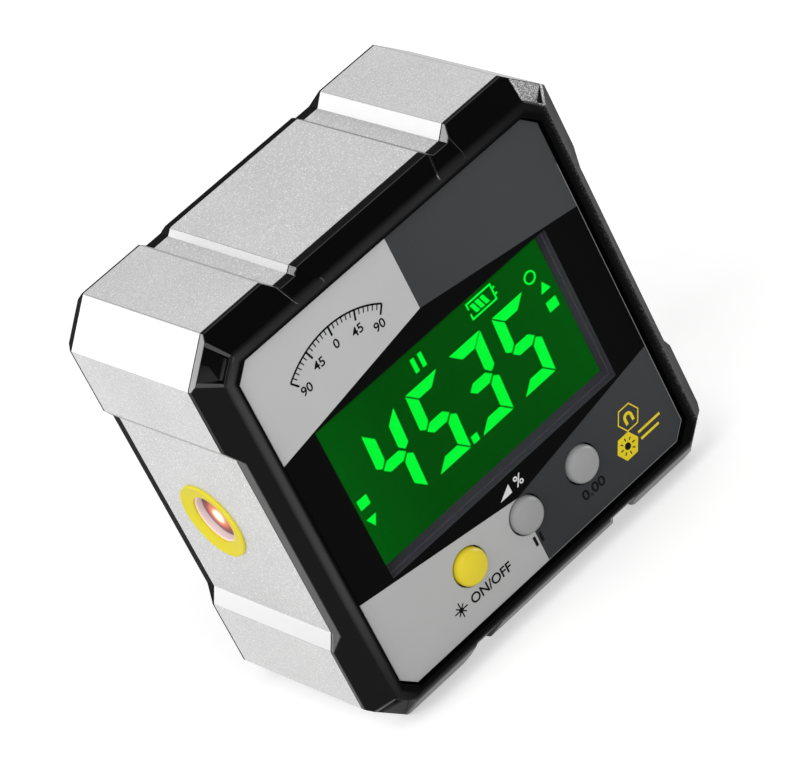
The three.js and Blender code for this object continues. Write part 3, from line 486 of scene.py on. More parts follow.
# %% Display and pane
def lit_display():
    finish = Finish("lit display")
    across, _, up = finish.axes()
    cloud = finish.noise(12, detail=2)
    nearness = (across + 22) / 44 + cloud * 0.06
    glow = finish.ramp(nearness, (0.0, tint(0, 104, 14)), (0.13, tint(0, 84, 8)), (0.35, tint(0, 73, 4)),
                       (0.75, tint(0, 76, 5)), (1.0, tint(0, 84, 7)))
    return finish.surface(base_color=gray(4), roughness=0.32, specular_ior_level=0.0,
                          emission_color=glow, emission_strength=1.0)


def lit_figures():
    finish = Finish("lit figures")
    cloud = finish.noise(8, detail=2)
    return finish.surface(base_color=gray(4), roughness=0.4, specular_ior_level=0.0, emission_strength=1.0,
                          emission_color=finish.ramp(cloud, (0.3, tint(0, 248, 50)), (0.7, tint(0, 255, 58))))


def clear_pane():
    finish = Finish("clear pane")
    smear = finish.noise(6, detail=3)
    return finish.surface(base_color=finish.ramp(smear, (0.3, gray(8)), (0.7, gray(14))),
                          specular_ior_level=0.4, roughness=smear * 0.08 + 0.04,
                          alpha=smear * 0.015 + 0.015)


display_glow = lit_display()
figure_glow = lit_figures()
pane_clear = clear_pane()
print("display finishes ready")

# %% [markdown]
# The front cover is black plastic too. Its coat weight follows the place and is painted sheen: it puts
# highlights along the lip above and at the left, on the bottom band, faintly on the left band and in
# specks on the right one. The walls of the window's well are black, but painted a lit gray. A coarse
# pale grain is painted glitter for the corner pocket that the light skims over.

# %% The front cover with painted sheen
LIP_PLACE, LIP_CORNER = 25.5, 9.44  # where the lip begins, and the reach of its corner cuts past the sides
BAND_LEFT, BAND_BELOW, BAND_RIGHT = 26.9, 26.1, 26.0  # where the bands outside the lip begin
LIT_WELL_MARGIN = 0.3


def painted_sheen_places(finish, across, up, speck):
    """Painted sheen: a coat weight by place, on the lip above and at the left and on the bands."""
    reach = abs(across).larger(abs(up)).larger((abs(across) + abs(up)) * math.sqrt(0.5) - LIP_CORNER)
    black, white = gray(0), gray(255)
    lip = finish.ramp((reach - LIP_PLACE) / 2, (0.18, black), (0.42, white), (0.65, white), (0.92, black))
    upper_left = finish.ramp((up - across) / 40 + 0.3, (0.2, black), (0.75, white))
    left = finish.ramp((across + up) / -10 + 0.5, (0.0, black), (1.0, white))
    below = finish.ramp((-1 * up - BAND_BELOW) / 2, (0.0, black), (0.35, white))
    right = finish.ramp((across - BAND_RIGHT) / 4, (0.0, black), (0.2, white), (0.9, gray(90)))
    left_band = (-1 * across > abs(up)) * (across < -BAND_LEFT)
    sheen = (lip * upper_left * (left * 0.55 + 0.40)).larger(below * 0.7).larger(left_band * 0.15)
    return sheen.larger(right * (speck * 0.55 + 0.03))


def front_cover_plastic():
    """Grained black with painted sheen by place, and the window's black well walls painted a lit gray."""
    finish = Finish("front cover")
    across, _, up = finish.axes()
    fine = finish.noise(0.20, detail=2, roughness=0.6)
    broad = finish.noise(7, detail=3)
    speck = finish.ramp(fine, (0.52, gray(0)), (0.60, gray(255)))
    black = finish.blend(fine * 0.4 + broad * 0.6, gray(2), gray(6))
    half_width = window_high.x / MM + LIT_WELL_MARGIN
    half_height = (window_high.z - window_low.z) / 2 / MM + LIT_WELL_MARGIN
    drop = (window_high.z + window_low.z) / 2 / MM - middle_height / MM
    lit_gray_well = (abs(across) < half_width) * (abs(up - drop) < half_height)
    # The well's walls are black plastic, painted a lit gray here.
    return finish.surface(base_color=finish.blend(lit_gray_well, black, tint(72, 68, 78)),
                          roughness=broad * 0.16 + 0.34, specular_ior_level=0.02,
                          # The coat weight is painted sheen.
                          coat_weight=painted_sheen_places(finish, across, up, speck), coat_roughness=0.24,
                          normal=finish.bump(fine, 0.02))


def painted_glitter_grain():
    """A pale coarse grain painted on black plastic, as glitter where light skims over it."""
    finish = Finish("grain with painted glitter")
    fine = finish.noise(0.17, detail=2, roughness=0.8)
    speck = finish.ramp(fine, (0.46, gray(0)), (0.58, gray(255)))
    return finish.surface(base_color=finish.blend(speck, gray(64), gray(190)), roughness=speck * -0.2 + 0.5,
                          specular_ior_level=0.3, normal=finish.bump(fine, 0.03))


front_plastic = front_cover_plastic()
painted_glitter = painted_glitter_grain()
print("front cover finishes ready")

# %% [markdown]
# In each laser port sits a dark lens with the beam's source behind it. It glows white in the middle and
# falls off through red to dark glass, which a ramp over the distance from its axis gives. The pale wall of
# the bore has a pink tint and a glow, painted in place of the beam's stray light.

# %% The glowing lens
def glowing_lens():
    finish = Finish("glowing lens")
    _, deep, up = finish.axes()
    lens_low, lens_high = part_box("laser_lens_left")
    axis_depth = (lens_low.y + lens_high.y) / 2 / MM
    sideways = deep - axis_depth
    distance = (sideways * sideways + up * up).math("SQRT") / 3.3
    flare = finish.noise(1.2, detail=2)
    glow = finish.ramp(distance + (flare - 0.5) * 0.12, (0.0, (1, 1, 0.94)), (0.24, (1, 0.95, 0.70)),
                       (0.38, (0.92, 0.20, 0.08)), (0.66, (0.24, 0.02, 0.02)), (1.0, (0.012, 0.008, 0.014)))
    return finish.surface(base_color=tint(40, 34, 46), roughness=0.22, specular_ior_level=0.2,
                          emission_color=glow, emission_strength=1.0)


def painted_bore_glow():
    """The wall round the lens; its pale pink tint and its glow are painted light from the beam."""
    finish = Finish("bore with painted glow")
    fine = finish.noise(0.3)
    # The pink tint and the emission are painted light standing in for the beam's stray light.
    return finish.surface(base_color=finish.blend(fine, tint(232, 210, 210), tint(240, 220, 220)),
                          roughness=0.55, specular_ior_level=0.2, emission_color=tint(118, 104, 106),
                          emission_strength=1.0, normal=finish.bump(fine, 0.004))


lens_glow = glowing_lens()
bore_glow_paint = painted_bore_glow()
print("lens and bore ready")

# %% [markdown]
# A new piece is modelled as a bmesh. This helper makes it an object: it turns the faces outward, shades
# it smooth except across real edges, gives it its finish and lets it ride on the body that carries it.


def new_piece(name, shape, finish, body, sharp=35):
    bmesh.ops.recalc_face_normals(shape, faces=shape.faces)
    for face in shape.faces:
        face.smooth = True
    for edge in shape.edges:
        edge.smooth = edge.calc_face_angle(math.pi) < math.radians(sharp)
    mesh = bpy.data.meshes.new(name)
    shape.to_mesh(mesh)
    shape.free()
    mesh.materials.append(finish)
    piece = bpy.data.objects.new(name, mesh)
    bpy.context.scene.collection.objects.link(piece)
    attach(piece, body)
    return piece


# %% [markdown]
# No moulded or machined edge is perfectly sharp, and the thin highlight along a broken edge is what
# tells the eye that a part is solid. The big parts are copies of their solids: equal corners are merged,
# the flat faces are made whole again, and every outer edge gets a small round. A Weighted Normal modifier
# keeps the flats flat in the shading. Three copies have more than one finish, chosen face by face: the
# frame for its machined slopes, the label for its wall round the window, which is painted a lit gray, and
# the front cover for its rims, its edges and its corner pockets, which get painted sheen, painted
# highlights and painted glitter where light falls on them.

# %% Parts with worked edges
def worked_copy(node, name, finish, round_width, sharp=25, mark_rounds=False):
    shape = bmesh.new()
    shape.from_mesh(nodes[node].data)
    bmesh.ops.remove_doubles(shape, verts=shape.verts, dist=0.001 * MM)
    bmesh.ops.dissolve_limit(shape, angle_limit=math.radians(0.4), verts=shape.verts, edges=shape.edges)
    outer = [edge for edge in shape.edges
             if edge.is_manifold and edge.calc_face_angle_signed() > math.radians(sharp)]
    rounds = bmesh.ops.bevel(shape, geom=outer, offset=round_width * MM, affect="EDGES", segments=4,
                             profile=0.5, material=-1, clamp_overlap=True)
    for face in rounds["faces"]:
        face.material_index = int(mark_rounds)
    piece = new_piece(name, shape, finish, nodes[node]["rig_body"], sharp=26)
    even = piece.modifiers.new("flat faces stay flat", "WEIGHTED_NORMAL")
    even.keep_sharp = True
    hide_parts(node)
    print(name, "has", len(piece.data.polygons), "faces")
    return piece


# Besides plain, the front cover has painted sheen on rims, painted highlights on corner rims and pocket
# ridges, and painted glitter in the upper right pocket.
PLAIN, SHEEN_RIM, HIGHLIGHT_CORNER, HIGHLIGHT_RIDGE, GLITTER_POCKET = range(5)
RIM_STEEPNESS, EDGE_STEEPNESS = 0.2, 0.6  # rims, and their edges, look to the front by less than this
CORNER_BAND, CORNER_RIM = 36.6, 1.25      # a corner band begins here, along the diagonal and in height
GROOVE_EDGES = (8.5, 10)                  # the inner edges of the groove tails lie between these
PLAIN_RIM = 14                            # above this height the left and right rims get no painted sheen


def cover_finish(face):
    """Which finish a face of the front cover has, from its place and from where it looks."""
    x, z = face.center.x / MM, (face.center.z - middle_height) / MM
    height = (frame_low.y - face.center.y) / MM
    outward = face.normal.dot(Vector((x, 0, z)).normalized())
    if max(abs(x), abs(z)) < label_half / MM + 1 or outward < 0:
        return PLAIN
    # Side rims below PLAIN_RIM get painted sheen, and corner rims a painted highlight.
    if abs(face.normal.y) < RIM_STEEPNESS:
        if min(abs(face.normal.x), abs(face.normal.z)) > 0.5:
            return HIGHLIGHT_CORNER
        return SHEEN_RIM if z < PLAIN_RIM and abs(face.normal.x) > 0.5 else PLAIN
    rounded = face.material_index == 1
    in_corner = (abs(x) + abs(z)) * math.sqrt(0.5) > CORNER_BAND and height > CORNER_RIM
    if in_corner:
        corner_direction = Vector((math.copysign(0.51, x), -0.69, math.copysign(0.51, z)))
        straight = face.normal.dot(corner_direction)
        raised = rounded or straight > 0.99
        # Only the upper right pocket, which light from the right skims, gets painted glitter; raised ridges
        # elsewhere get a painted highlight.
        if min(x, z) > 0 and (raised or straight > 0.9):
            return GLITTER_POCKET
        return HIGHLIGHT_RIDGE if raised else PLAIN
    # Rounded edges beside the groove panels and at the rims get painted sheen.
    beside_panel = GROOVE_EDGES[0] < min(abs(x), abs(z)) < GROOVE_EDGES[1]
    at_rim = abs(face.normal.y) < EDGE_STEEPNESS
    return SHEEN_RIM if rounded and (beside_panel or at_rim) else PLAIN


measuring_frame = worked_copy("aluminium_frame", "measuring_frame", aluminium, 0.14)
measuring_frame.data.materials.append(milled)
for face in measuring_frame.data.polygons:
    face.material_index = int(min(abs(face.normal.x), abs(face.normal.z)) > 0.3)
front_shell = worked_copy("front_cover", "front_shell", front_plastic, 0.14,
                          mark_rounds=True)
# These add the painted sheen, painted highlights and painted glitter to the front cover.
for finish in (sheen_rim_plastic, highlight_corner_plastic, highlight_ridge_plastic, painted_glitter):
    front_shell.data.materials.append(finish)
for face in front_shell.data.polygons:
    face.material_index = cover_finish(face)
worked_copy("rear_cover", "rear_shell", cover_plastic, 0.14)
label_sheet = worked_copy("label_panel", "label_sheet", label_print, 0.06)
# The label's wall round the window is black, but painted a lit gray.
label_sheet.data.materials.append(label_wall_painted_gray)
for face in label_sheet.data.polygons:
    beside_window = abs(face.center.x) < window_high.x + 0.5 * MM and face.center.z > window_low.z - 0.5 * MM
    inside_height = beside_window and face.center.z < window_high.z + 0.5 * MM
    face.material_index = int(inside_height and abs(face.normal.y) < 0.5)
worked_copy("display_window", "window_pane", pane_clear, 0.08)
worked_copy("usb_shell", "charging_socket_shell", socket_metal, 0.05)
for corner in ("upper_right", "upper_left", "lower_left", "lower_right"):
    worked_copy(f"cover_screw_{corner}", f"rear_screw_{corner}", screw_metal, 0.08, sharp=40)

# %% [markdown]
# Round parts are turned: an outline of radius and length is spun round its axis in fine steps. The same
# outline that a lathe would follow gives the caps, the port rings and the laser barrels.

# %% Turned parts
TURN_STEPS = 96


def arc(radius_place, length_place, radius, start, end, steps=8):
    """Points of a round, from one angle to another, in degrees."""
    angles = [math.radians(start + (end - start) * step / steps) for step in range(steps + 1)]
    return [(radius_place + radius * math.cos(angle), length_place + radius * math.sin(angle))
            for angle in angles]


def turned(name, outline, start, direction, finish, body, closed=False):
    """Spins an outline of (radius, length) points in millimetres round an axis."""
    shape = bmesh.new()
    points = [shape.verts.new((radius * MM, 0, length * MM)) for radius, length in outline]
    follow = points[1:] + points[:1] if closed else points[1:]
    edges = [shape.edges.new(pair) for pair in zip(points, follow)]
    bmesh.ops.spin(shape, geom=points + edges, cent=(0, 0, 0), axis=(0, 0, 1), dvec=(0, 0, 0),
                   angle=2 * math.pi, steps=TURN_STEPS, use_merge=True)
    bmesh.ops.remove_doubles(shape, verts=shape.verts, dist=0.0005 * MM)
    turn = Vector((0, 0, 1)).rotation_difference(Vector(direction)).to_matrix().to_4x4()
    bmesh.ops.transform(shape, matrix=Matrix.Translation(start) @ turn, verts=shape.verts)
    return new_piece(name, shape, finish, body)


print("one turn has", TURN_STEPS, "steps")

# %% [markdown]
# Each button is a domed cap with a soft edge, a flange that keeps it behind the cover and a plunger that
# works the switch. The power button is yellow, the other two are gray.

# %% Buttons
CAP_RADIUS, CAP_CROWN, CAP_ROUND = 2.45, 0.24, 0.75
FLANGE_START, FLANGE_END = 4.02, 4.72
PLUNGER_RADIUS = 1.5


def crown(radius, rise, steps=10):
    """A shallow dome from the axis outward, in front of length `rise`."""
    return [(radius * step / steps, rise * (step / steps) ** 2) for step in range(steps + 1)]


def make_button(node, finish):
    low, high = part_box(node)
    start = Vector(((low.x + high.x) / 2, low.y, (low.z + high.z) / 2))
    flange_radius = (high.x - low.x) / 2 / MM
    length = (high.y - low.y) / MM
    outline = crown(CAP_RADIUS - CAP_ROUND, CAP_CROWN)
    outline += arc(CAP_RADIUS - CAP_ROUND, CAP_CROWN + CAP_ROUND, CAP_ROUND, -90, 0)[1:]
    outline += [(CAP_RADIUS, FLANGE_START), (flange_radius, FLANGE_START), (flange_radius, FLANGE_END),
                (PLUNGER_RADIUS, FLANGE_END), (PLUNGER_RADIUS, length), (0, length)]
    button = turned(node.replace("_button", "_cap"), outline, start, (0, 1, 0), finish,
                    nodes[node]["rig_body"])
    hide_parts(node)


make_button("power_button", yellow_cap)
make_button("hold_button", gray_cap)
make_button("zero_button", gray_cap)
print("three caps,", 2 * CAP_RADIUS, "mm across")

# %% [markdown]
# Each laser port is a yellow ring with a slightly hollow face and a sleeve through the frame. Inside it
# the bright barrel of the laser ends in a bore with the lens at its bottom. The lengths of these outlines
# are distances from the middle of the tool, so one outline serves both sides.

# %% Laser ports
RING_MOUTH, RING_EDGE, RING_PROUD, RING_THROAT = 3.5, 0.15, 0.35, 0.3
SLEEVE_BORE, SLEEVE_RADIUS = 3.95, 4.7
BORE_RADIUS, DIODE_ROOM, LENS_DOME = 3.3, 2.75, 0.35


def ring_outline(low, high):
    sleeve_end, face = low.x / MM, high.x / MM
    outer = (high.y - low.y) / 2 / MM
    seat = face - RING_PROUD
    points = [(SLEEVE_BORE, sleeve_end), (SLEEVE_RADIUS, sleeve_end), (SLEEVE_RADIUS, seat), (outer, seat)]
    points += arc(outer - RING_EDGE, face - RING_EDGE, RING_EDGE, 0, 90, 5)
    dish = outer - RING_EDGE - RING_MOUTH
    points += [(RING_MOUTH + dish * share, face - RING_PROUD * (1 - share ** 2))
               for share in (0.8, 0.6, 0.4, 0.2, 0.06)]
    points += [(RING_MOUTH, seat - 0.06), (RING_MOUTH, seat - RING_THROAT), (SLEEVE_BORE, seat - RING_THROAT)]
    return points


def barrel_outline(low, high):
    back, front = low.x / MM, high.x / MM
    radius = (high.y - low.y) / 2 / MM
    lens_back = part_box("laser_lens_right")[0].x / MM
    points = [(DIODE_ROOM, back), (radius - 0.1, back), (radius, back + 0.1), (radius, front - 0.15)]
    points += [(radius - 0.15, front), (BORE_RADIUS + 0.12, front), (BORE_RADIUS, front - 0.12)]
    points += [(BORE_RADIUS, lens_back), (DIODE_ROOM, lens_back)]
    return points


def lens_outline(low, high):
    back, front = low.x / MM, high.x / MM
    radius = (high.y - low.y) / 2 / MM
    dome = [(radius * share, front - LENS_DOME * share ** 2)
            for share in (0.9, 0.75, 0.6, 0.45, 0.3, 0.15, 0)]
    return [(0, back), (radius, back), (radius, front - LENS_DOME)] + dome


def make_port_part(kind, name, outline_of, finish, closed):
    outline = outline_of(*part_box(f"{kind}_right"))
    axis_depth = sum(corner.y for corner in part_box(f"{kind}_right")) / 2
    for side, direction in (("left", -1), ("right", 1)):
        piece = turned(f"{name}_{side}", outline, (0, axis_depth, middle_height), (direction, 0, 0),
                       finish, "gauge", closed)
        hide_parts(f"{kind}_{side}")
        if kind == "laser_module":
            # The bore's faces get the painted pink glow of the beam's light.
            piece.data.materials.append(bore_glow_paint)
            for face in piece.data.polygons:
                reach = math.hypot(face.center.y - axis_depth, face.center.z - middle_height)
                face.material_index = int(reach < (BORE_RADIUS + 0.15) * MM)


make_port_part("laser_ring", "port_ring", ring_outline, port_yellow, True)
make_port_part("laser_module", "laser_barrel", barrel_outline, barrel_metal, True)
make_port_part("laser_lens", "port_lens", lens_outline, lens_glow, False)
print("two laser ports")

# %% [markdown]
# The figures of the display and the signs on the label are thin flat plates. They are laid out in
# millimetres on the front plane, x to the right and z up from the middle, and thickened a little. A
# `Drawing` collects the shapes of one colour and one depth.

# %% Flat signs
def stand_up(part):
    """Turns a flat bmesh that lies in x and y so that it lies in x and z."""
    bmesh.ops.rotate(part, verts=part.verts, cent=(0, 0, 0), matrix=Matrix.Rotation(math.pi / 2, 3, "X"))


class Drawing:
    """Thin plates on a plane that faces the front."""

    def __init__(self, front, thickness):
        self.shape = bmesh.new()
        self.front = front
        self.thickness = thickness * MM

    def add(self, part, place=(0, 0), turn=0, lean=0):
        """Takes over a flat bmesh that lies in x and z, in millimetres, thickens it and puts it in place."""
        grown = bmesh.ops.extrude_face_region(part, geom=part.faces[:])
        raised = [item for item in grown["geom"] if isinstance(item, bmesh.types.BMVert)]
        bmesh.ops.translate(part, verts=raised, vec=(0, self.thickness / MM, 0))
        slant = Matrix.Identity(4)
        slant[0][2] = lean
        move = (Matrix.Translation((place[0] * MM, self.front, middle_height + place[1] * MM))
                @ Matrix.Scale(MM, 4) @ slant @ Matrix.Rotation(-turn, 4, "Y"))
        bmesh.ops.transform(part, matrix=move, verts=part.verts)
        mesh = bpy.data.meshes.new("sign")
        part.to_mesh(mesh)
        part.free()
        self.shape.from_mesh(mesh)
        bpy.data.meshes.remove(mesh)

    def outline(self, points, **how):
        part = bmesh.new()
        part.faces.new([part.verts.new((x, 0, z)) for x, z in points])
        self.add(part, **how)

    def bar(self, width, height, **how):
        self.outline([(-width / 2, -height / 2), (width / 2, -height / 2),
                      (width / 2, height / 2), (-width / 2, height / 2)], **how)

    def disc(self, radius, sides=48, **how):
        part = bmesh.new()
        bmesh.ops.create_circle(part, segments=sides, radius=radius, cap_ends=True)
        stand_up(part)
        self.add(part, **how)

    def ring(self, radius, width, sides=48, **how):
        part = bmesh.new()
        bmesh.ops.create_circle(part, segments=sides, radius=radius, cap_ends=True)
        bmesh.ops.inset_region(part, faces=part.faces[:], thickness=width, use_boundary=True,
                               use_even_offset=True)
        middle = min(part.faces, key=lambda face: face.calc_center_median().length)
        bmesh.ops.delete(part, geom=[middle], context="FACES_ONLY")
        stand_up(part)
        self.add(part, **how)

    def sweep(self, radius, width, start, end, **how):
        """A curved band round the origin, from one angle to another in degrees from straight up."""
        part = bmesh.new()
        ends = [part.verts.new((0, 0, radius - width / 2)), part.verts.new((0, 0, radius + width / 2))]
        edge = part.edges.new(ends)
        bmesh.ops.rotate(part, verts=ends, cent=(0, 0, 0),
                         matrix=Matrix.Rotation(math.radians(start), 3, "Y"))
        bmesh.ops.spin(part, geom=ends + [edge], cent=(0, 0, 0), axis=(0, 1, 0), dvec=(0, 0, 0),
                       angle=math.radians(end - start), steps=32)
        self.add(part, **how)

    def words(self, text, height, centre, weight=0.0, width=None):
        """Numbers or a short word, as tall as `height`, centred on a place."""
        letters = bpy.data.curves.new("letters", "FONT")
        letters.body = text
        letters.offset = weight
        holder = bpy.data.objects.new("letters", letters)
        bpy.context.scene.collection.objects.link(holder)
        flat = bpy.data.meshes.new_from_object(holder.evaluated_get(bpy.context.evaluated_depsgraph_get()))
        bpy.data.objects.remove(holder)
        part = bmesh.new()
        part.from_mesh(flat)
        bpy.data.meshes.remove(flat)
        bmesh.ops.remove_doubles(part, verts=part.verts, dist=1e-5)
        low = [min(vert.co[axis] for vert in part.verts) for axis in range(2)]
        high = [max(vert.co[axis] for vert in part.verts) for axis in range(2)]
        tall = height / (high[1] - low[1])
        wide = width / (high[0] - low[0]) if width else tall
        bmesh.ops.translate(part, verts=part.verts, vec=(-(low[0] + high[0]) / 2, -(low[1] + high[1]) / 2, 0))
        bmesh.ops.scale(part, verts=part.verts, vec=(wide, tall, 1))
        stand_up(part)
        self.add(part, place=centre)

    def finish(self, name, finish, slot):
        return new_piece(name, self.shape, finish, "gauge", sharp=20)


# %% [markdown]
# The display shows four figures made of seven bars each, with mitred ends and a hair's gap between
# them, leaning a little to the right. A table says which bars each figure lights; only the bars that are
# lit are made. Round them stand the battery sign, the degree sign, the two bars of hold, and two arrows,
# each with its block.

# %% Figures of the display
FIGURE_WIDTH, FIGURE_HEIGHT, FIGURE_BAR, FIGURE_GAP = 5.45, 11.83, 1.52, 0.13
FIGURE_LEAN = 0.055
FIRST_FIGURE, FIGURE_STEP, FIGURE_FOOT = -13.83, 7.54, -7.12
DECIMAL_POINT = (0.20, -6.58)
READING = ("4", "5", "3", "5")
BARS_LIT = {"3": "top upper_right middle lower_right bottom",
            "4": "upper_left upper_right middle lower_right",
            "5": "top upper_left middle lower_right bottom"}
GLASS_GAP = 0.10

figures = Drawing(glass_low.y - GLASS_GAP * MM, GLASS_GAP)


def bar_outlines():
    """The outlines of the seven bars, from the lower left corner of the figure."""
    wide, tall, bar, gap = FIGURE_WIDTH, FIGURE_HEIGHT, FIGURE_BAR, FIGURE_GAP
    half = tall / 2
    top = [(gap, tall), (bar + gap, tall - bar), (wide - bar - gap, tall - bar), (wide - gap, tall)]
    side = [(0, tall - gap), (0, half + 0.55 * bar), (0.5 * bar, half + 0.22 * bar),
            (bar, half + 0.75 * bar), (bar, tall - bar - gap)]
    middle = [(0.55 * bar, half), (bar + gap, half + bar / 2), (wide - bar - gap, half + bar / 2),
              (wide - 0.55 * bar, half), (wide - bar - gap, half - bar / 2), (bar + gap, half - bar / 2)]
    return {
        "top": top,
        "bottom": [(x, tall - z) for x, z in top],
        "upper_left": side,
        "lower_left": [(x, tall - z) for x, z in side],
        "upper_right": [(wide - x, z) for x, z in side],
        "lower_right": [(wide - x, tall - z) for x, z in side],
        "middle": middle,
    }


bars = bar_outlines()
for number, figure in enumerate(READING):
    for lit_bar in BARS_LIT[figure].split():
        figures.outline(bars[lit_bar], place=(FIRST_FIGURE + number * FIGURE_STEP, FIGURE_FOOT),
                        lean=FIGURE_LEAN)
figures.bar(1.05, 1.08, place=DECIMAL_POINT)
print("display reads", "".join(READING[:2]) + "." + "".join(READING[2:]))

# %% Signs of the display
ARROW = [(-0.78, -0.7), (0.78, -0.7), (0, 0.7)]
figures.bar(1.65, 1.42, place=(17.9, 0.42))
figures.outline(ARROW, place=(17.9, 3.2))
figures.bar(1.6, 1.4, place=(-17.0, -2.62))
figures.outline(ARROW, place=(-17.0, -5.55), turn=math.pi)
figures.ring(0.92, 0.24, place=(16.68, 5.52))
for side in (-1, 1):
    figures.bar(0.62, 2.0, place=(-1.95 + side * 0.62, 7.08))

BATTERY_X, BATTERY_Z = 9.25, 7.55
BATTERY_WIDTH, BATTERY_HEIGHT, BATTERY_LINE = 4.2, 2.45, 0.22
for side in (-1, 1):
    for width, height, x, z in (
            (BATTERY_WIDTH, BATTERY_LINE, 0, (BATTERY_HEIGHT - BATTERY_LINE) / 2),
            (BATTERY_LINE, BATTERY_HEIGHT / 3, -(BATTERY_WIDTH - BATTERY_LINE) / 2, 0.75),
            (0.3, 0.24, BATTERY_WIDTH / 2 + 0.3, 0.45)):
        figures.bar(width, height, place=(BATTERY_X + x, BATTERY_Z + side * z))
figures.bar(BATTERY_LINE, BATTERY_HEIGHT, place=(BATTERY_X + BATTERY_WIDTH / 2, BATTERY_Z))
for cell in range(3):
    figures.bar(0.62, 1.35, place=(BATTERY_X - 1.1 + 0.85 * cell, BATTERY_Z), lean=-0.35)
figures.finish("display_figures", figure_glow, "display_lit")

# %% [markdown]
# The label's signs are print, a few hundredths of a millimetre thick: a dial of degrees in the upper left
# field, captions under the buttons, a slope sign under the window, and two yellow signs with two lines.
# Ink is a plain colour of slightly uneven density, so each ink has its own faint clouding.

# %% Inks
def ink(name, colour, roughness=0.5):
    finish = Finish(name)
    cloud = finish.noise(1.5, detail=3)
    lighter = tuple(min(1, share * 1.25 + 0.002) for share in colour)
    return finish.surface(base_color=finish.blend(cloud, colour, lighter), roughness=cloud * 0.1 + roughness,
                          specular_ior_level=0.05)


black_ink = ink("black ink", gray(8))
white_ink = ink("white ink", gray(205))
yellow_ink = ink("yellow ink", tint(214, 192, 40))
INK = 0.03


def new_print():
    return Drawing(label_low.y - INK * MM, 2 * INK)


def toward(place, reach, angle):
    """The point that lies `reach` away from a place, at an angle from straight up to the right."""
    return place[0] + reach * math.sin(angle), place[1] + reach * math.cos(angle)


def rays(drawing, place, reach, width, length, short=1):
    """Eight bars that point away from a place; every second one is `short` times as long and as far out."""
    for ray in range(8):
        angle = math.pi / 4 * ray
        share = 1 if ray % 2 == 0 else short
        drawing.bar(width, length * share, turn=-angle, place=toward(place, reach * share, angle))


# %% Dial of degrees
DIAL_PLACE, DIAL_RADIUS, DIAL_REACH = (-11.85, 8.6), 12.7, 37
black_print = new_print()
black_print.sweep(DIAL_RADIUS, 0.24, -DIAL_REACH, DIAL_REACH, place=DIAL_PLACE)
TICKS = 24
for tick in range(TICKS + 1):
    angle = math.radians(-DIAL_REACH + 2 * DIAL_REACH * tick / TICKS)
    long_tick = tick % (TICKS // 4) == 0
    length = 1.35 if long_tick else 0.75
    black_print.bar(0.26 if long_tick else 0.14, length, turn=-angle,
                    place=toward(DIAL_PLACE, DIAL_RADIUS - length / 2, angle))
for angle, number in ((-DIAL_REACH, "90"), (-DIAL_REACH / 2, "45"), (0, "0"), (DIAL_REACH / 2, "45"),
                      (DIAL_REACH, "90")):
    black_print.words(number, 1.25, weight=0.012,
                      centre=toward(DIAL_PLACE, DIAL_RADIUS - 2.55, math.radians(angle)))
print("dial with", TICKS + 1, "ticks")

# %% Captions
CAPTION_HEIGHT, CAPTION_LINE = 1.38, -21.8
STAR_PLACE, STAR_RADIUS = (-13.72, CAPTION_LINE), 1.13
rays(black_print, STAR_PLACE, 0.6 * STAR_RADIUS, 0.17, 0.72 * STAR_RADIUS, short=0.8)
black_print.disc(0.36, place=STAR_PLACE)
black_print.words("ON/OFF", CAPTION_HEIGHT, centre=(-8.45, CAPTION_LINE), weight=0.016, width=6.9)
for side in (-1, 1):
    black_print.bar(0.42, CAPTION_HEIGHT, place=(side * 0.5, CAPTION_LINE))
black_print.words("0.00", CAPTION_HEIGHT, centre=(9.95, CAPTION_LINE), weight=0.016, width=3.9)
black_print.finish("black_print", black_ink, "label_print")

white_print = new_print()
white_print.outline([(-2.3, -14.0), (-0.3, -14.0), (-0.3, -12.7)])
white_print.words("%", 1.5, centre=(1.2, -13.25), weight=0.01)
white_print.finish("white_print", white_ink, "label_print")

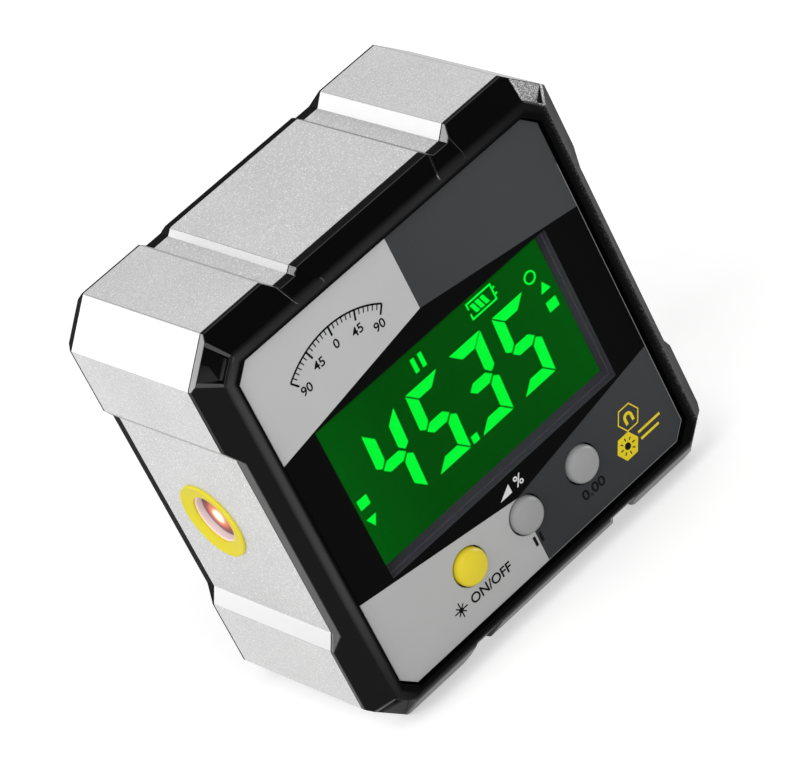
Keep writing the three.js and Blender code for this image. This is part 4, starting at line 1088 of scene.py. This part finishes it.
# %% Yellow signs
yellow_print = new_print()
MAGNET_PLACE, LAMP_PLACE, SIGN_RADIUS = (18.62, -17.46), (16.80, -20.67), 1.87
yellow_print.ring(SIGN_RADIUS, 0.16, sides=6, place=MAGNET_PLACE, turn=math.pi / 6)
yellow_print.sweep(0.55, 0.42, -90, 90, place=MAGNET_PLACE)
for side in (-1, 1):
    yellow_print.bar(0.42, 0.8, place=(MAGNET_PLACE[0] + side * 0.55, MAGNET_PLACE[1] - 0.4))
yellow_print.disc(SIGN_RADIUS, sides=6, place=LAMP_PLACE, turn=math.pi / 6)
for line, width in ((0, 3.9), (1, 3.2)):
    yellow_print.bar(width, 0.34, place=(18.95 + width / 2, -20.2 - 1.02 * line))
yellow_print.finish("yellow_print", yellow_ink, "label_print")

dark_sign = Drawing(label_low.y - 2 * INK * MM, 2 * INK)
dark_sign.disc(0.48, place=LAMP_PLACE)
rays(dark_sign, LAMP_PLACE, 1.0, 0.14, 0.42)
dark_sign.finish("dark_sign", black_ink, "label_print")
print("signs printed")

# %% [markdown]
# The parts inside keep their solids, and only get the finish of the material they are listed with. The
# record of the model names a slot for every part, so one table of slots is enough. Finishes that only
# these parts have are made in the table.

# %% Finishes of the parts inside
FINISHES = {
    "frame_aluminium": aluminium, "cover_plastic": cover_plastic, "label_print": label_print,
    "window_clear": pane_clear, "display_lit": display_glow, "button_yellow": yellow_cap,
    "button_gray": gray_cap, "ring_yellow": port_yellow, "laser_lens": lens_glow,
    "laser_metal": barrel_metal, "socket_steel": socket_metal, "screw_steel": screw_metal,
    "board_green": board_lacquer, "battery_foil": foil, "diode_brass": diode_brass(),
    "switch_steel": bare_metal("pressed steel", 0.42, 0.36, 0.006),
    "magnet_nickel": bare_metal("nickel plated magnet", 0.62, 0.18, 0.002),
    "light_guide": moulded("milky light guide", tint(214, 228, 214), 0.25, 0.004),
    "lamp": moulded("lamp resin", tint(236, 232, 190), 0.3, 0.004),
    "contact_rubber": moulded("contact rubber", gray(58), 0.8, 0.01, 0.3),
    "holder_plastic": moulded("display holder", gray(44), 0.5),
    "chassis_plastic": moulded("chassis plastic", gray(50), 0.55),
    "chip_black": moulded("chip resin", gray(30), 0.6, 0.01, 0.10),
    "plug_ivory": moulded("ivory plug", tint(226, 220, 205), 0.45, 0.006),
    "foam_pad": moulded("closed foam", gray(62), 0.95, 0.05, 0.45, 0.3, 0.1),
    "lead_red": moulded("red wire", tint(168, 26, 22), 0.45, 0.006),
    "lead_black": moulded("black wire", gray(28), 0.45, 0.006),
    "lead_blue": moulded("blue wire", tint(38, 74, 158), 0.45, 0.006),
}
for part in frame["record"]["subparts"]:
    mesh = nodes[part["node"]].data
    mesh.materials.clear()
    mesh.materials.append(FINISHES[part["material_slot"]])
